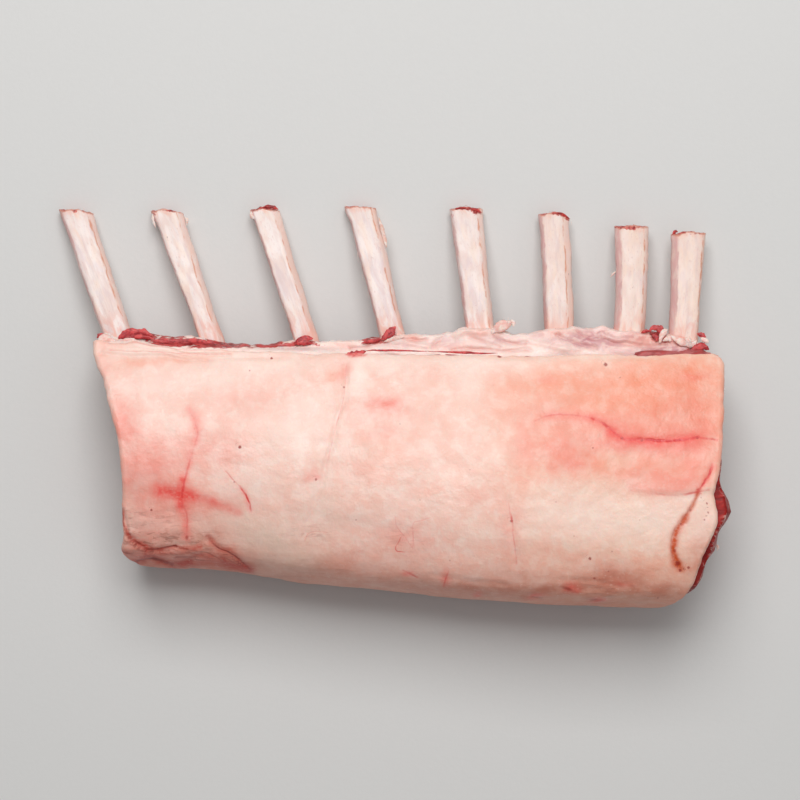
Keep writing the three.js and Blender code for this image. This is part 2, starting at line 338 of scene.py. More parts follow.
def box_grid(us, vs, ws, coarse):
    """u, v, w of each corner of a box with those rows, and its faces. The lower face has coarse cells."""
    nu, nv, nw = len(us) - 1, len(vs) - 1, len(ws) - 1
    i, j = np.meshgrid(np.arange(nu + 1), np.arange(nv + 1), indexing="ij")
    top = i * (nv + 1) + j
    corners = [np.stack([us[i.ravel()], vs[j.ravel()], np.full(i.size, ws[-1])], 1)]
    ring = [(n, 0) for n in range(nu)] + [(nu, n) for n in range(nv)]
    ring += [(n, nv) for n in range(nu, 0, -1)] + [(0, n) for n in range(nv, 0, -1)]
    ring_i, ring_j = np.array(ring).T
    above = top[ring_i, ring_j]
    squares = np.stack([top[:-1, :-1], top[1:, :-1], top[1:, 1:], top[:-1, 1:]], -1)
    faces = [squares.reshape(-1, 4).tolist()]
    count = top.size
    for k in range(nw - 1, -1, -1):
        below = count + np.arange(len(ring))
        corners.append(np.stack([us[ring_i], vs[ring_j], np.full(len(ring), ws[k])], 1))
        faces.append(np.stack([above, below, np.roll(below, -1), np.roll(above, -1)], -1).tolist())
        above = below
        count += len(ring)
    low = {place: above[n] for n, place in enumerate(ring)}
    inner = [(m, n) for m in range(coarse, nu, coarse) for n in range(coarse, nv, coarse)]
    low.update({place: count + n for n, place in enumerate(inner)})
    corners.append(np.array([[us[m], vs[n], ws[0]] for m, n in inner]).reshape(-1, 3))
    cells = []
    for m in range(0, nu, coarse):
        for n in range(0, nv, coarse):
            east, north = min(m + coarse, nu), min(n + coarse, nv)
            walk = [(m, q) for q in range(n, north)] + [(q, north) for q in range(m, east)]
            walk += [(east, q) for q in range(north, n, -1)] + [(q, n) for q in range(east, m, -1)]
            cells.append([int(low[place]) for place in walk if place in low])
    return np.concatenate(corners), [face for group in faces for face in group] + cells


def make_piece(name, points, faces, look, replaced=(), masks=None):
    """A smooth-shaded piece from points in mm. masks are named values, or vectors, for each point."""
    mesh = bpy.data.meshes.new(name)
    mesh.from_pydata((points * MM).tolist(), [], faces)
    mesh.update()
    mesh.shade_smooth()
    for mask, values in (masks or {}).items():
        values = np.asarray(values, np.float32)
        kind, field = ("FLOAT", "value") if values.ndim == 1 else ("FLOAT_VECTOR", "vector")
        mesh.attributes.new(mask, kind, "POINT").data.foreach_set(field, values.ravel())
    mesh.materials.append(look)
    piece = bpy.data.objects.new(name, mesh)
    bpy.context.scene.collection.objects.link(piece)
    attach(piece, "root")
    if replaced:
        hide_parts(*replaced)


def tube_faces(index):
    """The faces between rings of points, given as the rows of index."""
    turned = np.roll(index, -1, axis=1)
    return np.stack([index[:-1], turned[:-1], turned[1:], index[1:]], -1).reshape(-1, 4)


# ---- Material nodes ------------------------------------------------------------------------------
def tone(red, green, blue):
    """A colour given as it looks on a screen, from 0 to 255."""
    value = np.array([red, green, blue]) / 255
    linear = np.where(value <= 0.04045, value / 12.92, ((value + 0.055) / 1.055) ** 2.4)
    return (*linear.tolist(), 1.0)


class Look:
    """One material. Its methods add nodes and pass sockets or plain numbers on."""

    def __init__(self, name):
        self.material = bpy.data.materials.new(name)
        self.material.use_nodes = True
        self.tree = self.material.node_tree
        self.shader = self.tree.nodes["Principled BSDF"]
        self.here = self.add("TexCoord").outputs["Object"]
        self.colour = None

    def add(self, kind, **settings):
        node = self.tree.nodes.new("ShaderNode" + kind)
        for key, value in settings.items():
            setattr(node, key, value)
        return node

    def put(self, socket, value):
        if isinstance(value, bpy.types.NodeSocket):
            self.tree.links.new(value, socket)
        else:
            socket.default_value = value

    def mask(self, name, kind="Fac"):
        return self.add("Attribute", attribute_name=name).outputs[kind]

    def math(self, operation, a, b=0.0, clamp=False):
        node = self.add("Math", operation=operation, use_clamp=clamp)
        self.put(node.inputs[0], a)
        self.put(node.inputs[1], b)
        return node.outputs[0]

    def times(self, a, b):
        return self.math("MULTIPLY", a, b)

    def plus(self, a, b):
        return self.math("ADD", a, b)

    def span(self, value, low, high, to_low=0.0, to_high=1.0):
        """value, taken smoothly from low..high to to_low..to_high."""
        node = self.add("MapRange", interpolation_type="SMOOTHSTEP")
        for socket, number in zip(node.inputs, (value, low, high, to_low, to_high)):
            self.put(socket, number)
        return node.outputs[0]

    def fall(self, value, low, high):
        return self.span(value, low, high, 1.0, 0.0)

    def stretched(self, size, seed=0, where=None):
        """The place, in lumps of that size in mm."""
        size = np.broadcast_to(np.asarray(size, float), 3)
        scaled = self.add("VectorMath", operation="MULTIPLY_ADD")
        self.put(scaled.inputs[0], where or self.here)
        unit = 1.0 if where else MM
        scaled.inputs[1].default_value = (1 / (size * unit)).tolist()
        scaled.inputs[2].default_value = (seed * 7.3, seed * 3.1, seed * 5.7)
        return scaled.outputs[0]

    def grain(self, size, detail=3.0, seed=0, where=None, twist=0.0):
        """Noise from 0 to 1 with lumps of that size in mm."""
        node = self.add("TexNoise")
        self.put(node.inputs["Vector"], self.stretched(size, seed, where))
        node.inputs["Scale"].default_value = 1.0
        node.inputs["Detail"].default_value = detail
        node.inputs["Roughness"].default_value = 0.55
        node.inputs["Distortion"].default_value = twist
        return node.outputs["Fac"]

    def cells(self, size, seed=0, where=None):
        """Distance, in sizes, from the nearest of scattered points about size mm apart."""
        node = self.add("TexVoronoi")
        self.put(node.inputs["Vector"], self.stretched(size, seed, where))
        node.inputs["Scale"].default_value = 1.0
        return node.outputs["Distance"]

    def threads(self, size, thin, seed):
        """1 on thin winding lines, 0 between them."""
        away = self.math("ABSOLUTE", self.math("SUBTRACT", self.grain(size, 2.0, seed, twist=0.6), 0.5))
        return self.fall(away, 0.0, thin)

    def blend(self, amount, under, over):
        node = self.add("Mix", data_type="RGBA")
        self.put(node.inputs[0], amount)
        self.put(node.inputs[6], under)
        self.put(node.inputs[7], over)
        return node.outputs[2]

    def coat(self, paint, *amounts):
        """Puts paint on the colour so far, as strong as the product of the amounts."""
        self.colour = self.blend(functools.reduce(self.times, amounts), self.colour, paint)

    def shaken(self, value, grain, share):
        """value, made uneven by a grain."""
        return self.plus(value, self.times(self.math("SUBTRACT", grain, 0.5), share))

    def total(self, *parts):
        """The sum of values, each times its weight."""
        return functools.reduce(self.plus, [self.times(value, weight) for value, weight in parts])

    def bump(self, height, depth):
        """Relief of depth mm between the height's 0 and 1."""
        node = self.add("Bump")
        node.inputs["Strength"].default_value = 1.0
        node.inputs["Distance"].default_value = depth * MM
        self.put(node.inputs["Height"], height)
        return node.outputs[0]

    def spots(self, name, ragged):
        """1 on the specks that the vector mask of that name points to, times their strength."""
        speck = self.mask(name, "Vector")
        flat = self.add("VectorMath", operation="MULTIPLY")
        self.put(flat.inputs[0], speck)
        flat.inputs[1].default_value = (1, 1, 0)
        away = self.add("VectorMath", operation="LENGTH")
        self.put(away.inputs[0], flat.outputs[0])
        strength = self.add("SeparateXYZ")
        self.put(strength.inputs[0], speck)
        away = self.plus(away.outputs["Value"], ragged)
        return self.times(self.fall(away, 0.9, 1.7), strength.outputs["Z"])

    def finish(self, roughness, normal, soft=0.0, depth=1.0, shine=0.5):
        """soft is the share of light that passes through the surface, depth how far it goes in mm."""
        self.shader.inputs["Specular IOR Level"].default_value = shine
        self.put(self.shader.inputs["Base Color"], self.colour)
        self.put(self.shader.inputs["Roughness"], roughness)
        self.put(self.shader.inputs["Normal"], normal)
        self.shader.inputs["Subsurface Weight"].default_value = soft
        self.shader.inputs["Subsurface Radius"].default_value = (1.0, 0.42, 0.3)
        self.shader.inputs["Subsurface Scale"].default_value = depth * MM
        return self.material


# ---- Marks on the fat, where the camera sees them ------------------------------------------------
# Soft patches: x, y, reach across, reach down, strength.
PINK = [
    (122, 428, 18, 24, 0.85), (146, 470, 44, 22, 0.65), (160, 490, 34, 12, 0.3), (380, 409, 30, 10, 0.35),
    (196, 432, 9, 22, 0.45), (245, 398, 36, 14, 0.2), (220, 452, 30, 26, 0.35), (386, 403, 15, 7, 0.85),
    (384, 431, 22, 8, 0.3), (640, 447, 60, 10, 0.9), (690, 456, 36, 22, 0.6), (560, 452, 30, 14, 0.55),
    (318, 478, 9, 6, 0.55), (690, 479, 34, 11, 0.65), (650, 478, 34, 10, 0.5), (360, 470, 18, 11, 0.15),
    (480, 500, 24, 12, 0.15), (524, 444, 16, 18, 0.4), (104, 372, 8, 28, 0.3), (410, 536, 26, 16, 0.35),
    (512, 530, 12, 30, 0.35), (208, 508, 32, 12, 0.4), (124, 480, 14, 22, 0.5), (600, 428, 40, 9, 0.5),
    (140, 384, 44, 16, 0.1), (545, 420, 30, 14, 0.4), (176, 520, 36, 12, 0.4), (140, 500, 24, 10, 0.35),
    (572, 466, 26, 12, 0.6), (165, 452, 40, 16, 0.35), (164, 522, 50, 22, 0.5), (140, 556, 34, 14, 0.8),
    (200, 560, 44, 10, 0.8), (690, 400, 30, 20, 0.3), (640, 424, 60, 18, 0.5), (700, 436, 24, 24, 0.5),
    (225, 556, 24, 9, 0.6), (345, 372, 6, 14, 0.4),
]
PEACH = [
    (692, 376, 40, 22, 1.0), (640, 384, 46, 20, 0.8), (706, 420, 24, 28, 0.75), (560, 386, 56, 18, 0.65),
    (600, 408, 54, 18, 0.65), (655, 408, 50, 18, 0.75), (571, 466, 32, 13, 0.6), (610, 470, 30, 11, 0.55),
    # (150, 362) is painted shadow under the groove along the cap's left edge.
    (522, 470, 16, 22, 0.4), (150, 362, 44, 5, 0.4), (337, 374, 8, 10, 0.5), (430, 392, 26, 22, 0.15),
    (505, 404, 30, 26, 0.35), (670, 468, 44, 14, 0.65), (390, 446, 36, 20, 0.2), (560, 556, 50, 14, 0.25),
    (640, 430, 54, 14, 0.6), (430, 480, 50, 18, 0.1), (545, 440, 34, 20, 0.4), (662, 572, 40, 12, 0.35),
]
PALE = [
    (470, 380, 16, 36, 0.7), (290, 432, 38, 30, 0.5), (655, 524, 46, 20, 0.6), (704, 520, 14, 22, 0.5),
    # (359, 376) is a painted sheen beside the groove that runs down from the cap's edge.
    (359, 376, 8, 18, 0.8), (548, 512, 40, 18, 0.3), (210, 376, 54, 16, 0.5), (352, 452, 18, 16, 0.4),
    (106, 392, 6, 18, 0.3), (420, 398, 14, 16, 0.3), (590, 524, 32, 22, 0.5), (200, 350, 100, 5, 0.8),
    (148, 522, 22, 9, 0.6), (320, 408, 22, 20, 0.3), (690, 500, 20, 7, 0.8), (400, 362, 60, 7, 0.6),
    (490, 362, 44, 7, 0.7), (150, 384, 30, 12, 0.4), (280, 366, 40, 8, 0.5), (262, 480, 22, 16, 0.4),
    (330, 520, 26, 16, 0.2), (600, 358, 70, 5, 0.5), (186, 532, 14, 8, 0.5),
]
GREY = [
    (266, 540, 38, 24, 0.8), (148, 523, 28, 9, 0.3), (190, 524, 22, 10, 0.65), (328, 505, 22, 40, 0.3),
    (232, 520, 28, 14, 0.5), (300, 558, 28, 14, 0.5), (126, 500, 6, 16, 0.3), (188, 540, 14, 6, 0.6),
]
# Brown patches along the lower side, in the lower left folds and by the right rim: partly the fat's browner
# colour there, partly painted shade where the fat turns down.
BROWN_AND_SHADE = [
    (150, 547, 32, 7, 0.3), (206, 542, 18, 9, 0.55), (182, 531, 24, 7, 0.3), (222, 557, 28, 9, 0.4),
    (244, 566, 18, 6, 0.7), (400, 582, 56, 7, 0.35), (470, 588, 56, 8, 0.55), (350, 566, 54, 12, 0.35),
    (560, 590, 70, 8, 0.85), (520, 574, 50, 10, 0.4), (640, 596, 54, 8, 0.8), (612, 581, 40, 12, 0.75),
    (170, 566, 50, 5, 0.6), (300, 572, 50, 8, 0.3), (690, 572, 18, 14, 0.4), (704, 554, 14, 30, 0.5),
]
BLOTS = [
    (386, 403, 10, 4, 0.2), (570, 588, 7, 4, 0.55), (598, 601, 8, 2.4, 0.8), (408, 574, 6, 3, 0.6),
    (446, 578, 4, 7, 0.4), (478, 594, 5, 2, 0.5), (536, 596, 9, 3, 0.55), (356, 354, 8, 2.4, 0.6),
    (148, 471, 22, 12, 0.15), (546, 381, 10, 4, 0.2), (577, 592, 5, 3, 0.4), (240, 567, 12, 3, 0.5),
    (622, 585, 10, 3, 0.3), (318, 479, 5, 3, 0.4), (692, 376, 14, 5, 0.3), (571, 466, 12, 5, 0.25),
]

# Stains of fresh blood that has soaked in, as broad lines: half width in mm, strength, then x and y of
# each point.
SOAKED_IN = [
    (2.7, 0.85, 160, 491, 166, 492, 174, 493.5, 184, 495, 191, 496.5),
    (1.8, 0.42, 193, 497, 203, 498.5, 213, 502.5), (1.5, 0.36, 213, 503, 222, 507, 231, 511, 238, 513.5),
    (1.4, 0.85, 183, 480, 181.6, 488, 181, 497, 180.5, 506), (1.8, 0.5, 183, 510, 186, 521, 187, 538),
    (1.5, 0.3, 190, 410, 194, 418, 197, 431, 196, 440), (1.2, 0.35, 190, 455, 186, 475),
    (2.9, 0.6, 612, 431, 619, 436, 632, 440, 662, 441, 698, 438),
    (1.2, 0.6, 612, 431, 619, 436, 632, 440, 662, 440.5, 692, 438),
    (1.6, 0.5, 592, 418.6, 603, 423.3, 613, 431), (1.4, 0.35, 545, 416.5, 560, 415, 592, 418.6),
    (1.3, 0.5, 715, 466, 711.5, 475, 705, 484, 700, 491), (2.2, 0.3, 632, 487, 668, 490, 696, 487),
    (0.9, 0.4, 241, 489, 247, 499, 250.5, 510),
]
# Dusky folds, in the same way: partly the red-brown of the fat in them, partly painted shade in the folds.
FOLDS = [
    (0.9, 0.8, 125, 535, 132, 540, 141, 545, 150, 549, 160, 549),
    (0.7, 0.7, 160, 549, 172, 546.5, 186, 547.5, 200, 546), (0.7, 0.5, 147, 549, 146, 557),
    (1.1, 0.95, 134, 563, 142, 560, 150, 556.5, 158, 558.5, 167, 562, 176, 563.5, 190, 561.5),
    (0.7, 0.6, 176, 557, 188, 557, 200, 554, 212, 556), (1.3, 0.5, 190, 563, 206, 562, 222, 563),
    (1.7, 0.8, 224, 562, 237, 566, 250, 569), (0.8, 0.6, 121.5, 510, 124, 524, 127, 535),
    (0.8, 0.6, 207, 538, 213, 544, 220, 549, 229, 552, 237, 558, 251, 569),
    (0.6, 0.4, 160, 553, 176, 552, 196, 551), (1.0, 0.4, 127, 552, 133, 554),
]
# Dried rust-brown blood, in the same way.
RUST = [
    (0.9, 0.75, 699.5, 492, 696, 500, 691, 509, 685, 518),
    (1.35, 1.0, 685, 518, 679, 527, 675, 536, 673.5, 548, 675, 557, 678, 564),
    (1.2, 0.9, 676, 562, 679, 566, 681, 570),
]

# Thin blood lines, in the same way; the two along the fold line at the right are painted shadow under the
# flap's edge.
VEINS = [
    (0.34, 0.2, 192, 416, 197.5, 431, 196, 440, 191, 456),
    (0.36, 0.42, 189.5, 461, 186, 475, 182.3, 491.5, 181.5, 506), (0.3, 0.25, 184, 508, 187, 516, 187, 538),
    (0.22, 0.35, 226, 472, 234, 481, 241, 488), (0.34, 0.7, 240, 487, 245, 495, 249, 503, 250.5, 510),
    (0.2, 0.2, 346, 366, 344, 396, 337, 421, 332, 442, 326, 465), (0.24, 0.35, 340, 411, 337.5, 420),
    (0.2, 0.25, 306, 538, 308.7, 533.4, 316, 531.6, 326, 532.4),
    (0.18, 0.2, 395, 517, 396.7, 526.7, 404.4, 536.3, 412, 547.8),
    (0.22, 0.7, 400.4, 538, 398.7, 542, 395.4, 547, 397, 551.2, 403, 552),
    (0.18, 0.22, 414, 547.8, 413, 535, 413.4, 523, 419, 521, 429, 518),
    (0.3, 0.3, 536, 421, 546, 416.4, 559, 414.7, 576.6, 415.7, 592, 418.6),
    (0.36, 0.65, 592, 418.6, 603, 423.3, 613, 431, 622.5, 438.4, 634, 439.6),
    (0.42, 0.95, 616, 434, 626, 439.4, 643.5, 439, 662.7, 440.6, 682, 439.6, 698, 437),
    (0.36, 0.6, 698, 437, 707, 438, 717, 439.6), (0.48, 0.85, 714.6, 466, 712, 475, 704.8, 485, 701, 491),
    # These two follow the fold line and are painted shadow under the flap's edge.
    (0.34, 0.2, 648, 493, 668, 495, 684, 494.8), (0.4, 0.55, 684, 494.8, 701, 491.3, 714, 490),
    (0.26, 0.3, 508.6, 503.7, 510.5, 517, 512.4, 523, 513.4, 538, 515.3, 548, 516.3, 563),
    (0.34, 0.6, 510.4, 514, 511.4, 518, 512.4, 524), (0.3, 0.5, 404, 571, 410, 574, 416, 577),
    (0.3, 0.5, 448, 572, 446, 578, 444, 584), (0.9, 0.8, 347, 353.6, 353, 354.6, 360, 353.8, 366, 352),
    (0.3, 0.5, 226, 347.6, 240, 348.6, 262, 349.6, 285, 350, 306, 350.6),
    (0.2, 0.3, 108, 345, 140, 347.4, 175, 349, 226, 350.6),
    (0.22, 0.3, 112, 351, 140, 352.4, 190, 353.6, 230, 354),
]
# Dark lines, in the same way: along the rust and at the stains near the lower edge they are dark marks of
# their own, and in the folds at the lower left they are painted shade.
DUSK = [
    (0.3, 0.25, 676, 527, 672, 537, 671, 549, 673, 558), (0.3, 0.3, 691, 505, 687, 513, 682, 520),
    (0.34, 0.8, 129, 538, 138, 543, 148, 549, 158, 549.5), (0.28, 0.7, 160, 548.6, 174, 546, 187, 547.4),
    (0.4, 0.9, 140, 562, 150, 558.5, 160, 561, 172, 564.6), (0.24, 0.4, 176, 557, 188, 557.4, 196, 556),
    (0.26, 0.5, 127.4, 552, 133, 552.6), (0.26, 0.65, 210, 541, 218, 548, 229, 552, 238, 558.4, 249, 568),
    (0.34, 0.6, 121.5, 510, 124, 524, 127, 534), (0.5, 0.5, 564, 587, 571, 590),
    (0.2, 0.4, 132, 544, 142, 549.5, 152, 552.5), (0.2, 0.4, 150, 567, 164, 569.5, 178, 568.5),
    (0.2, 0.35, 186, 556.5, 198, 559, 212, 560.5), (0.2, 0.35, 222, 556, 232, 560.5, 242, 567),
    (0.4, 0.4, 533, 596, 541, 597), (0.4, 0.5, 592, 601, 601, 602),
    (0.22, 0.4, 196, 549, 206, 552, 222, 560),
]
# Specks: x, y, radius in mm, strength.
SPECKS = [
    (239.6, 446.8, 0.62, 0.95), (151.4, 510, 0.46, 0.8), (271.6, 357.8, 0.5, 0.9), (344, 386.6, 0.4, 0.6),
    (315.8, 479.4, 0.5, 0.7), (249.6, 370.6, 0.34, 0.5), (605.4, 365.4, 0.75, 0.8), (234, 482, 0.34, 0.5),
    (590, 558.8, 0.6, 0.8), (594.4, 579, 0.5, 0.6), (608.6, 572, 0.36, 0.5), (710.8, 503.4, 0.48, 0.7),
    (709.8, 512.4, 0.42, 0.6), (703.6, 497.4, 0.36, 0.5), (705.4, 519.6, 0.4, 0.6),
    (689.8, 567.8, 0.55, 0.8), (658, 599.8, 0.4, 0.5), (593, 447.8, 0.4, 0.5), (620, 378, 0.34, 0.4),
    (499.4, 354.2, 0.8, 0.9), (678, 564, 1.0, 0.8), (680.6, 571, 0.6, 0.8), (690.4, 510, 0.5, 0.5),
    (187.2, 536.6, 0.7, 0.5), (674.6, 551, 0.6, 0.5), (681, 524, 0.5, 0.5), (642, 440, 0.6, 0.5),
    (680, 439.6, 0.5, 0.5), (697.6, 437.4, 0.55, 0.6), (622, 438, 0.6, 0.5), (511.4, 521, 0.6, 0.6),
    (124, 552, 0.6, 0.5), (400, 424, 0.3, 0.3), (470, 470, 0.3, 0.3), (356, 520, 0.34, 0.4),
    (556, 502, 0.34, 0.3), (420, 500, 0.3, 0.3), (640, 520, 0.3, 0.3), (612, 552, 0.34, 0.4),
    (574, 536, 0.3, 0.3), (450, 560, 0.34, 0.3),
]

# Folds: height in mm (below 0 is a groove), half width in mm, then x and y of each point.
GROOVES = [
    (-0.4, 1.0, 347, 362, 345, 396, 337, 421, 332, 442, 326, 465, 321, 485, 314, 506, 305, 540),
    (-0.6, 0.8, 106, 355, 122, 357.6, 150, 358, 180, 358, 206, 357.5),
    (-0.4, 0.9, 203, 357.5, 240, 357, 280, 356.5), (-0.5, 0.5, 108, 345, 140, 347.4, 175, 349, 226, 350.6),
    (-0.4, 0.5, 112, 351, 140, 352.4, 190, 353.6, 230, 354),
    (-0.6, 0.5, 226, 347.6, 262, 349.6, 306, 350.6), (0.5, 1.6, 112, 354, 150, 354.5, 200, 355),
    (-0.6, 0.7, 122, 534, 132, 540, 142, 545, 152, 549.4, 164, 549, 176, 547),
    (-0.35, 0.6, 158, 548, 172, 546, 185, 547.4, 202, 546),
    (0.5, 1.6, 132, 550, 150, 553.5, 172, 552, 196, 551),
    (-0.6, 0.7, 136, 562, 144, 560, 152, 557.5, 160, 560, 173, 564, 188, 562),
    (0.4, 1.2, 150, 562, 164, 566, 184, 567), (-0.4, 0.7, 176, 557, 188, 557.4, 200, 554),
    (-0.4, 0.7, 207, 538, 212, 544, 218, 549, 228, 552, 238, 558, 250, 568),
    (-0.3, 0.7, 132, 513, 150, 516, 170, 512, 182, 509), (-0.6, 0.5, 121.5, 508, 124, 524, 128, 537),
    (-0.2, 0.6, 592, 418.6, 613, 431, 626, 439, 662, 440, 698, 437, 718, 440),
    (-0.3, 0.8, 714, 466, 711, 476, 701, 491, 696, 503, 684, 519, 673, 536, 673, 552, 680, 570),
    (-0.3, 1.3, 508, 500, 512, 523, 515, 548, 516, 565), (0.4, 3, 170, 532, 186, 534, 200, 538),
    (-0.3, 0.7, 560, 580, 590, 583, 620, 588), (-0.3, 0.6, 430, 574, 470, 580, 510, 584),
]
# Where the fat is puckered and wrinkled: x, y, reach across, reach down, strength.
PUCKERS = [
    (150, 540, 40, 17, 1.0), (195, 545, 36, 14, 0.9), (128, 520, 12, 20, 0.7), (310, 534, 22, 9, 0.5),
    (404, 536, 20, 18, 0.35), (168, 516, 40, 8, 0.4), (600, 590, 60, 9, 0.4),
]
FOLD_STEP = 0.7  # the upper flap lies this far over the whiter fat, at the right
FOLD_LINE = [(606, 486), (640, 492), (668, 495), (684, 494.8), (701, 491.6), (716, 490)]
# How far the cap's cut edge stands out past that of the plain form, in mm at x in mm.
CAP_RISE = [
    (-106, 1.7), (-101, 1.4), (-98, 0.6), (-94.5, 0.9), (-90, 2.0), (-87, 1.6), (-84, 0.7), (-78, 0.3),
    (-72, 0), (-10, 0), (15, -0.3), (35, -0.8), (50, -1), (90, -1), (98, -0.6), (106, -0.2), (115, 0),
]
# How far its right rim stands out, in mm at y in mm.
RIM_OUT = [
    (-72, 0.2), (-60, 0), (-53, -0.9), (-47, -1), (-40, -0.4), (-36, -0.8), (-33, -1.9), (-29.6, -2.6),
    (-25, -1.7), (-18, -0.6), (-7, 0), (4, 1),
]
SOFT_PATCHES = {"pink": PINK, "peach": PEACH, "pale": PALE, "grey": GREY, "brown": BROWN_AND_SHADE}
KNOB_OUT = 1.3  # how far its top left corner stands out
CORNER_OUT = 1.3  # and its lower left one


def patches(places, spots):
    """How strongly soft patches cover places."""
    total = np.zeros(len(places))
    for x, y, across, down, strength in spots:
        reach = ((places[:, 0] - x) / across) ** 2 + ((places[:, 1] - y) / down) ** 2
        total = 1 - (1 - total) * (1 - strength * np.exp(-reach))
    return total


def streaks(places, marks):
    """How strongly broad soft-edged lines cover places."""
    total = np.zeros(len(places))
    for half, strength, points in split_marks(marks):
        total = 1 - (1 - total) * (1 - strength * bell(off_line(places, points)[1], half))
    return total


def lines(places, marks):
    """The signed distance, in half widths, from the nearest of thin lines, and its strength there."""
    far = np.full(len(places), 9.0)
    closest = far.copy()
    ink = np.zeros(len(places))
    for half, strength, points in split_marks(marks):
        signed, true, share = off_line(places, points)
        drawn = strength * (0.4 + 0.6 * np.sin(np.pi * np.clip(share, 0.04, 0.96)) ** 0.5)
        past = np.sqrt(np.maximum(true**2 - signed**2, 0))
        drawn = drawn * (1 - smooth(past, 0.2, 1)) * (1 - smooth(true, 1.2 * half + 0.4, 2.4 * half + 1))
        nearer = true / half < closest
        closest = np.where(nearer, true / half, closest)
        far = np.where(nearer, signed / half, far)
        ink = np.where(nearer, drawn, ink)
    return far, ink


def specks(places, marks):
    """The way from the nearest of the marks, in its radii, right and down, and its strength."""
    found = np.tile([9.0, 9.0, 0.0], (len(places), 1))
    for x, y, radius, strength in marks:
        away = (places - (x, y)) * PIXEL
        near = np.hypot(*away.T) < 1.1 + radius
        found[near, :2] = away[near] / radius
        found[near, 2] = strength
    return found


def fat_relief(points, places, v):
    """How far the fat's surface stands out from its plain form, in mm."""
    low_side = 1 - smooth(v, 0.2, 0.45)
    high = 0.8 * noise(points, 36, 1) + 0.3 * noise(points, 13, 2) + 0.12 * rough(points, 5, 3)
    high += (0.3 * noise(points, (38, 6, 6), 4) + 0.16 * rough(points, (12, 2.6, 2.6), 5)) * low_side
    wavy = places + 2.4 * np.stack([noise(points, 9, 6), noise(points, 9, 7)], -1)
    for depth, half, line in split_marks(GROOVES):
        _, true, _ = off_line(wavy, line)
        high += depth * bell(true, half)
    puckers = 0.45 * rough(points, (7, 2.4, 2.4), 16) + 0.2 * rough(points, 2.2, 17)
    high += patches(places, PUCKERS) * puckers
    signed, _, share = off_line(wavy, FOLD_LINE)
    flap = smooth(-signed, -1.2, 1.2) * bell(np.maximum(-signed, 0), 9)
    high += FOLD_STEP * flap * smooth(share, 0, 0.5)
    return high


def fat_cap():
    """The fat over the loin and flank: its skin in full detail, its cut edges, and a plain inside."""
    us = spaced(340, (0, 3), (0.012, 3), (0.02, 1), (0.98, 1), (0.988, 3), (1, 3))
    vs = spaced(208, (0, 0.9), (0.1, 0.6), (0.25, 0.5), (0.4, 1.1), (0.6, 1.5), (0.9, 1.2), (0.94, 1.6),
                (1, 1.6))
    grid, faces = box_grid(us, vs, np.linspace(0, 1, 8), 4)
    u, v, w = grid.T
    plain = fat_place(u, v, w)
    step = 1e-3
    across = fat_place(np.minimum(u + step, 1), v, w) - fat_place(np.maximum(u - step, 0), v, w)
    up = fat_place(u, np.minimum(v + step, 1), w) - fat_place(u, np.maximum(v - step, 0), w)
    out = np.cross(across, up)
    out = out / np.linalg.norm(out, axis=1)[:, None]
    places = seen(plain)
    x = mix(BODY_LEFT, BODY_RIGHT, u)
    from_cut = np.minimum(u, 1 - u) * (BODY_RIGHT - BODY_LEFT)
    from_edge = cap_edge(x) - plain[:, 1] + 0.4
    high = fat_relief(plain, places, v)
    rounded = corner_pull(from_cut, 1.7) + corner_pull(np.clip(from_edge, 0, 99), 1.5) * (v > 0.9)
    points = plain + out * ((high - rounded) * w)[:, None]
    wobble = 0.5 * noise(plain, 14, 11) + 0.28 * rough(plain, 4, 12)
    points[:, 0] += wobble * (1 - smooth(from_cut, 0, 6))
    left_end, right_end = 1 - smooth(u, 0, 0.04), smooth(u, 0.95, 1)
    points[:, 0] -= KNOB_OUT * left_end * hump(plain[:, 1], 19, 11)
    points[:, 0] -= CORNER_OUT * left_end * hump(plain[:, 1], -53, 8)
    points[:, 0] += right_end * line_of(RIM_OUT, plain[:, 1])
    points[:, 1] += line_of(CAP_RISE, plain[:, 0]) * smooth(v, 0.9, 1)
    ragged = 0.35 * noise(plain, 9, 13) + 0.3 * rough(plain, 3, 14)
    points[:, 1] += ragged * smooth(v, 0.93, 1)
    on_edge = (w < 0.97) & (v > 0.999)
    points[:, 1] += np.where(on_edge, 0.25 * rough(plain, 2.2, 15), 0)
    coarse = 5 * np.stack([rough(plain, 20, 21), rough(plain, 20, 24)], -1)
    small = 2 * np.stack([rough(plain, 5, 27), rough(plain, 5, 30)], -1)
    drift = places + coarse + small
    vein, vein_ink = lines(places, VEINS)
    dusk, dusk_ink = lines(places, DUSK)
    masks = {name: patches(drift, spots) for name, spots in SOFT_PATCHES.items()}
    masks.update({
        "blots": patches(places + small, BLOTS), "soaked": streaks(places + 0.6 * small, SOAKED_IN),
        "folds": streaks(places + 0.8 * small, FOLDS), "rust": streaks(places + 0.5 * small, RUST),
        "vein": vein, "vein_ink": vein_ink, "dusk": dusk, "dusk_ink": dusk_ink,
        "specks": specks(places, SPECKS), "puckered": patches(places, PUCKERS),
        # side marks the lower rounded side, which the fat's look browns and darkens, partly as painted
        # shade.
        "side": 1 - smooth(v, 0.12, 0.47), "right": smooth(plain[:, 0], 0, 90),
        "cut": np.where(w < 0.97, 1.0, 0.0),
    })
    make_piece("fat_cap_skin", points, faces, fat_look(), ["fat_cap"], masks)


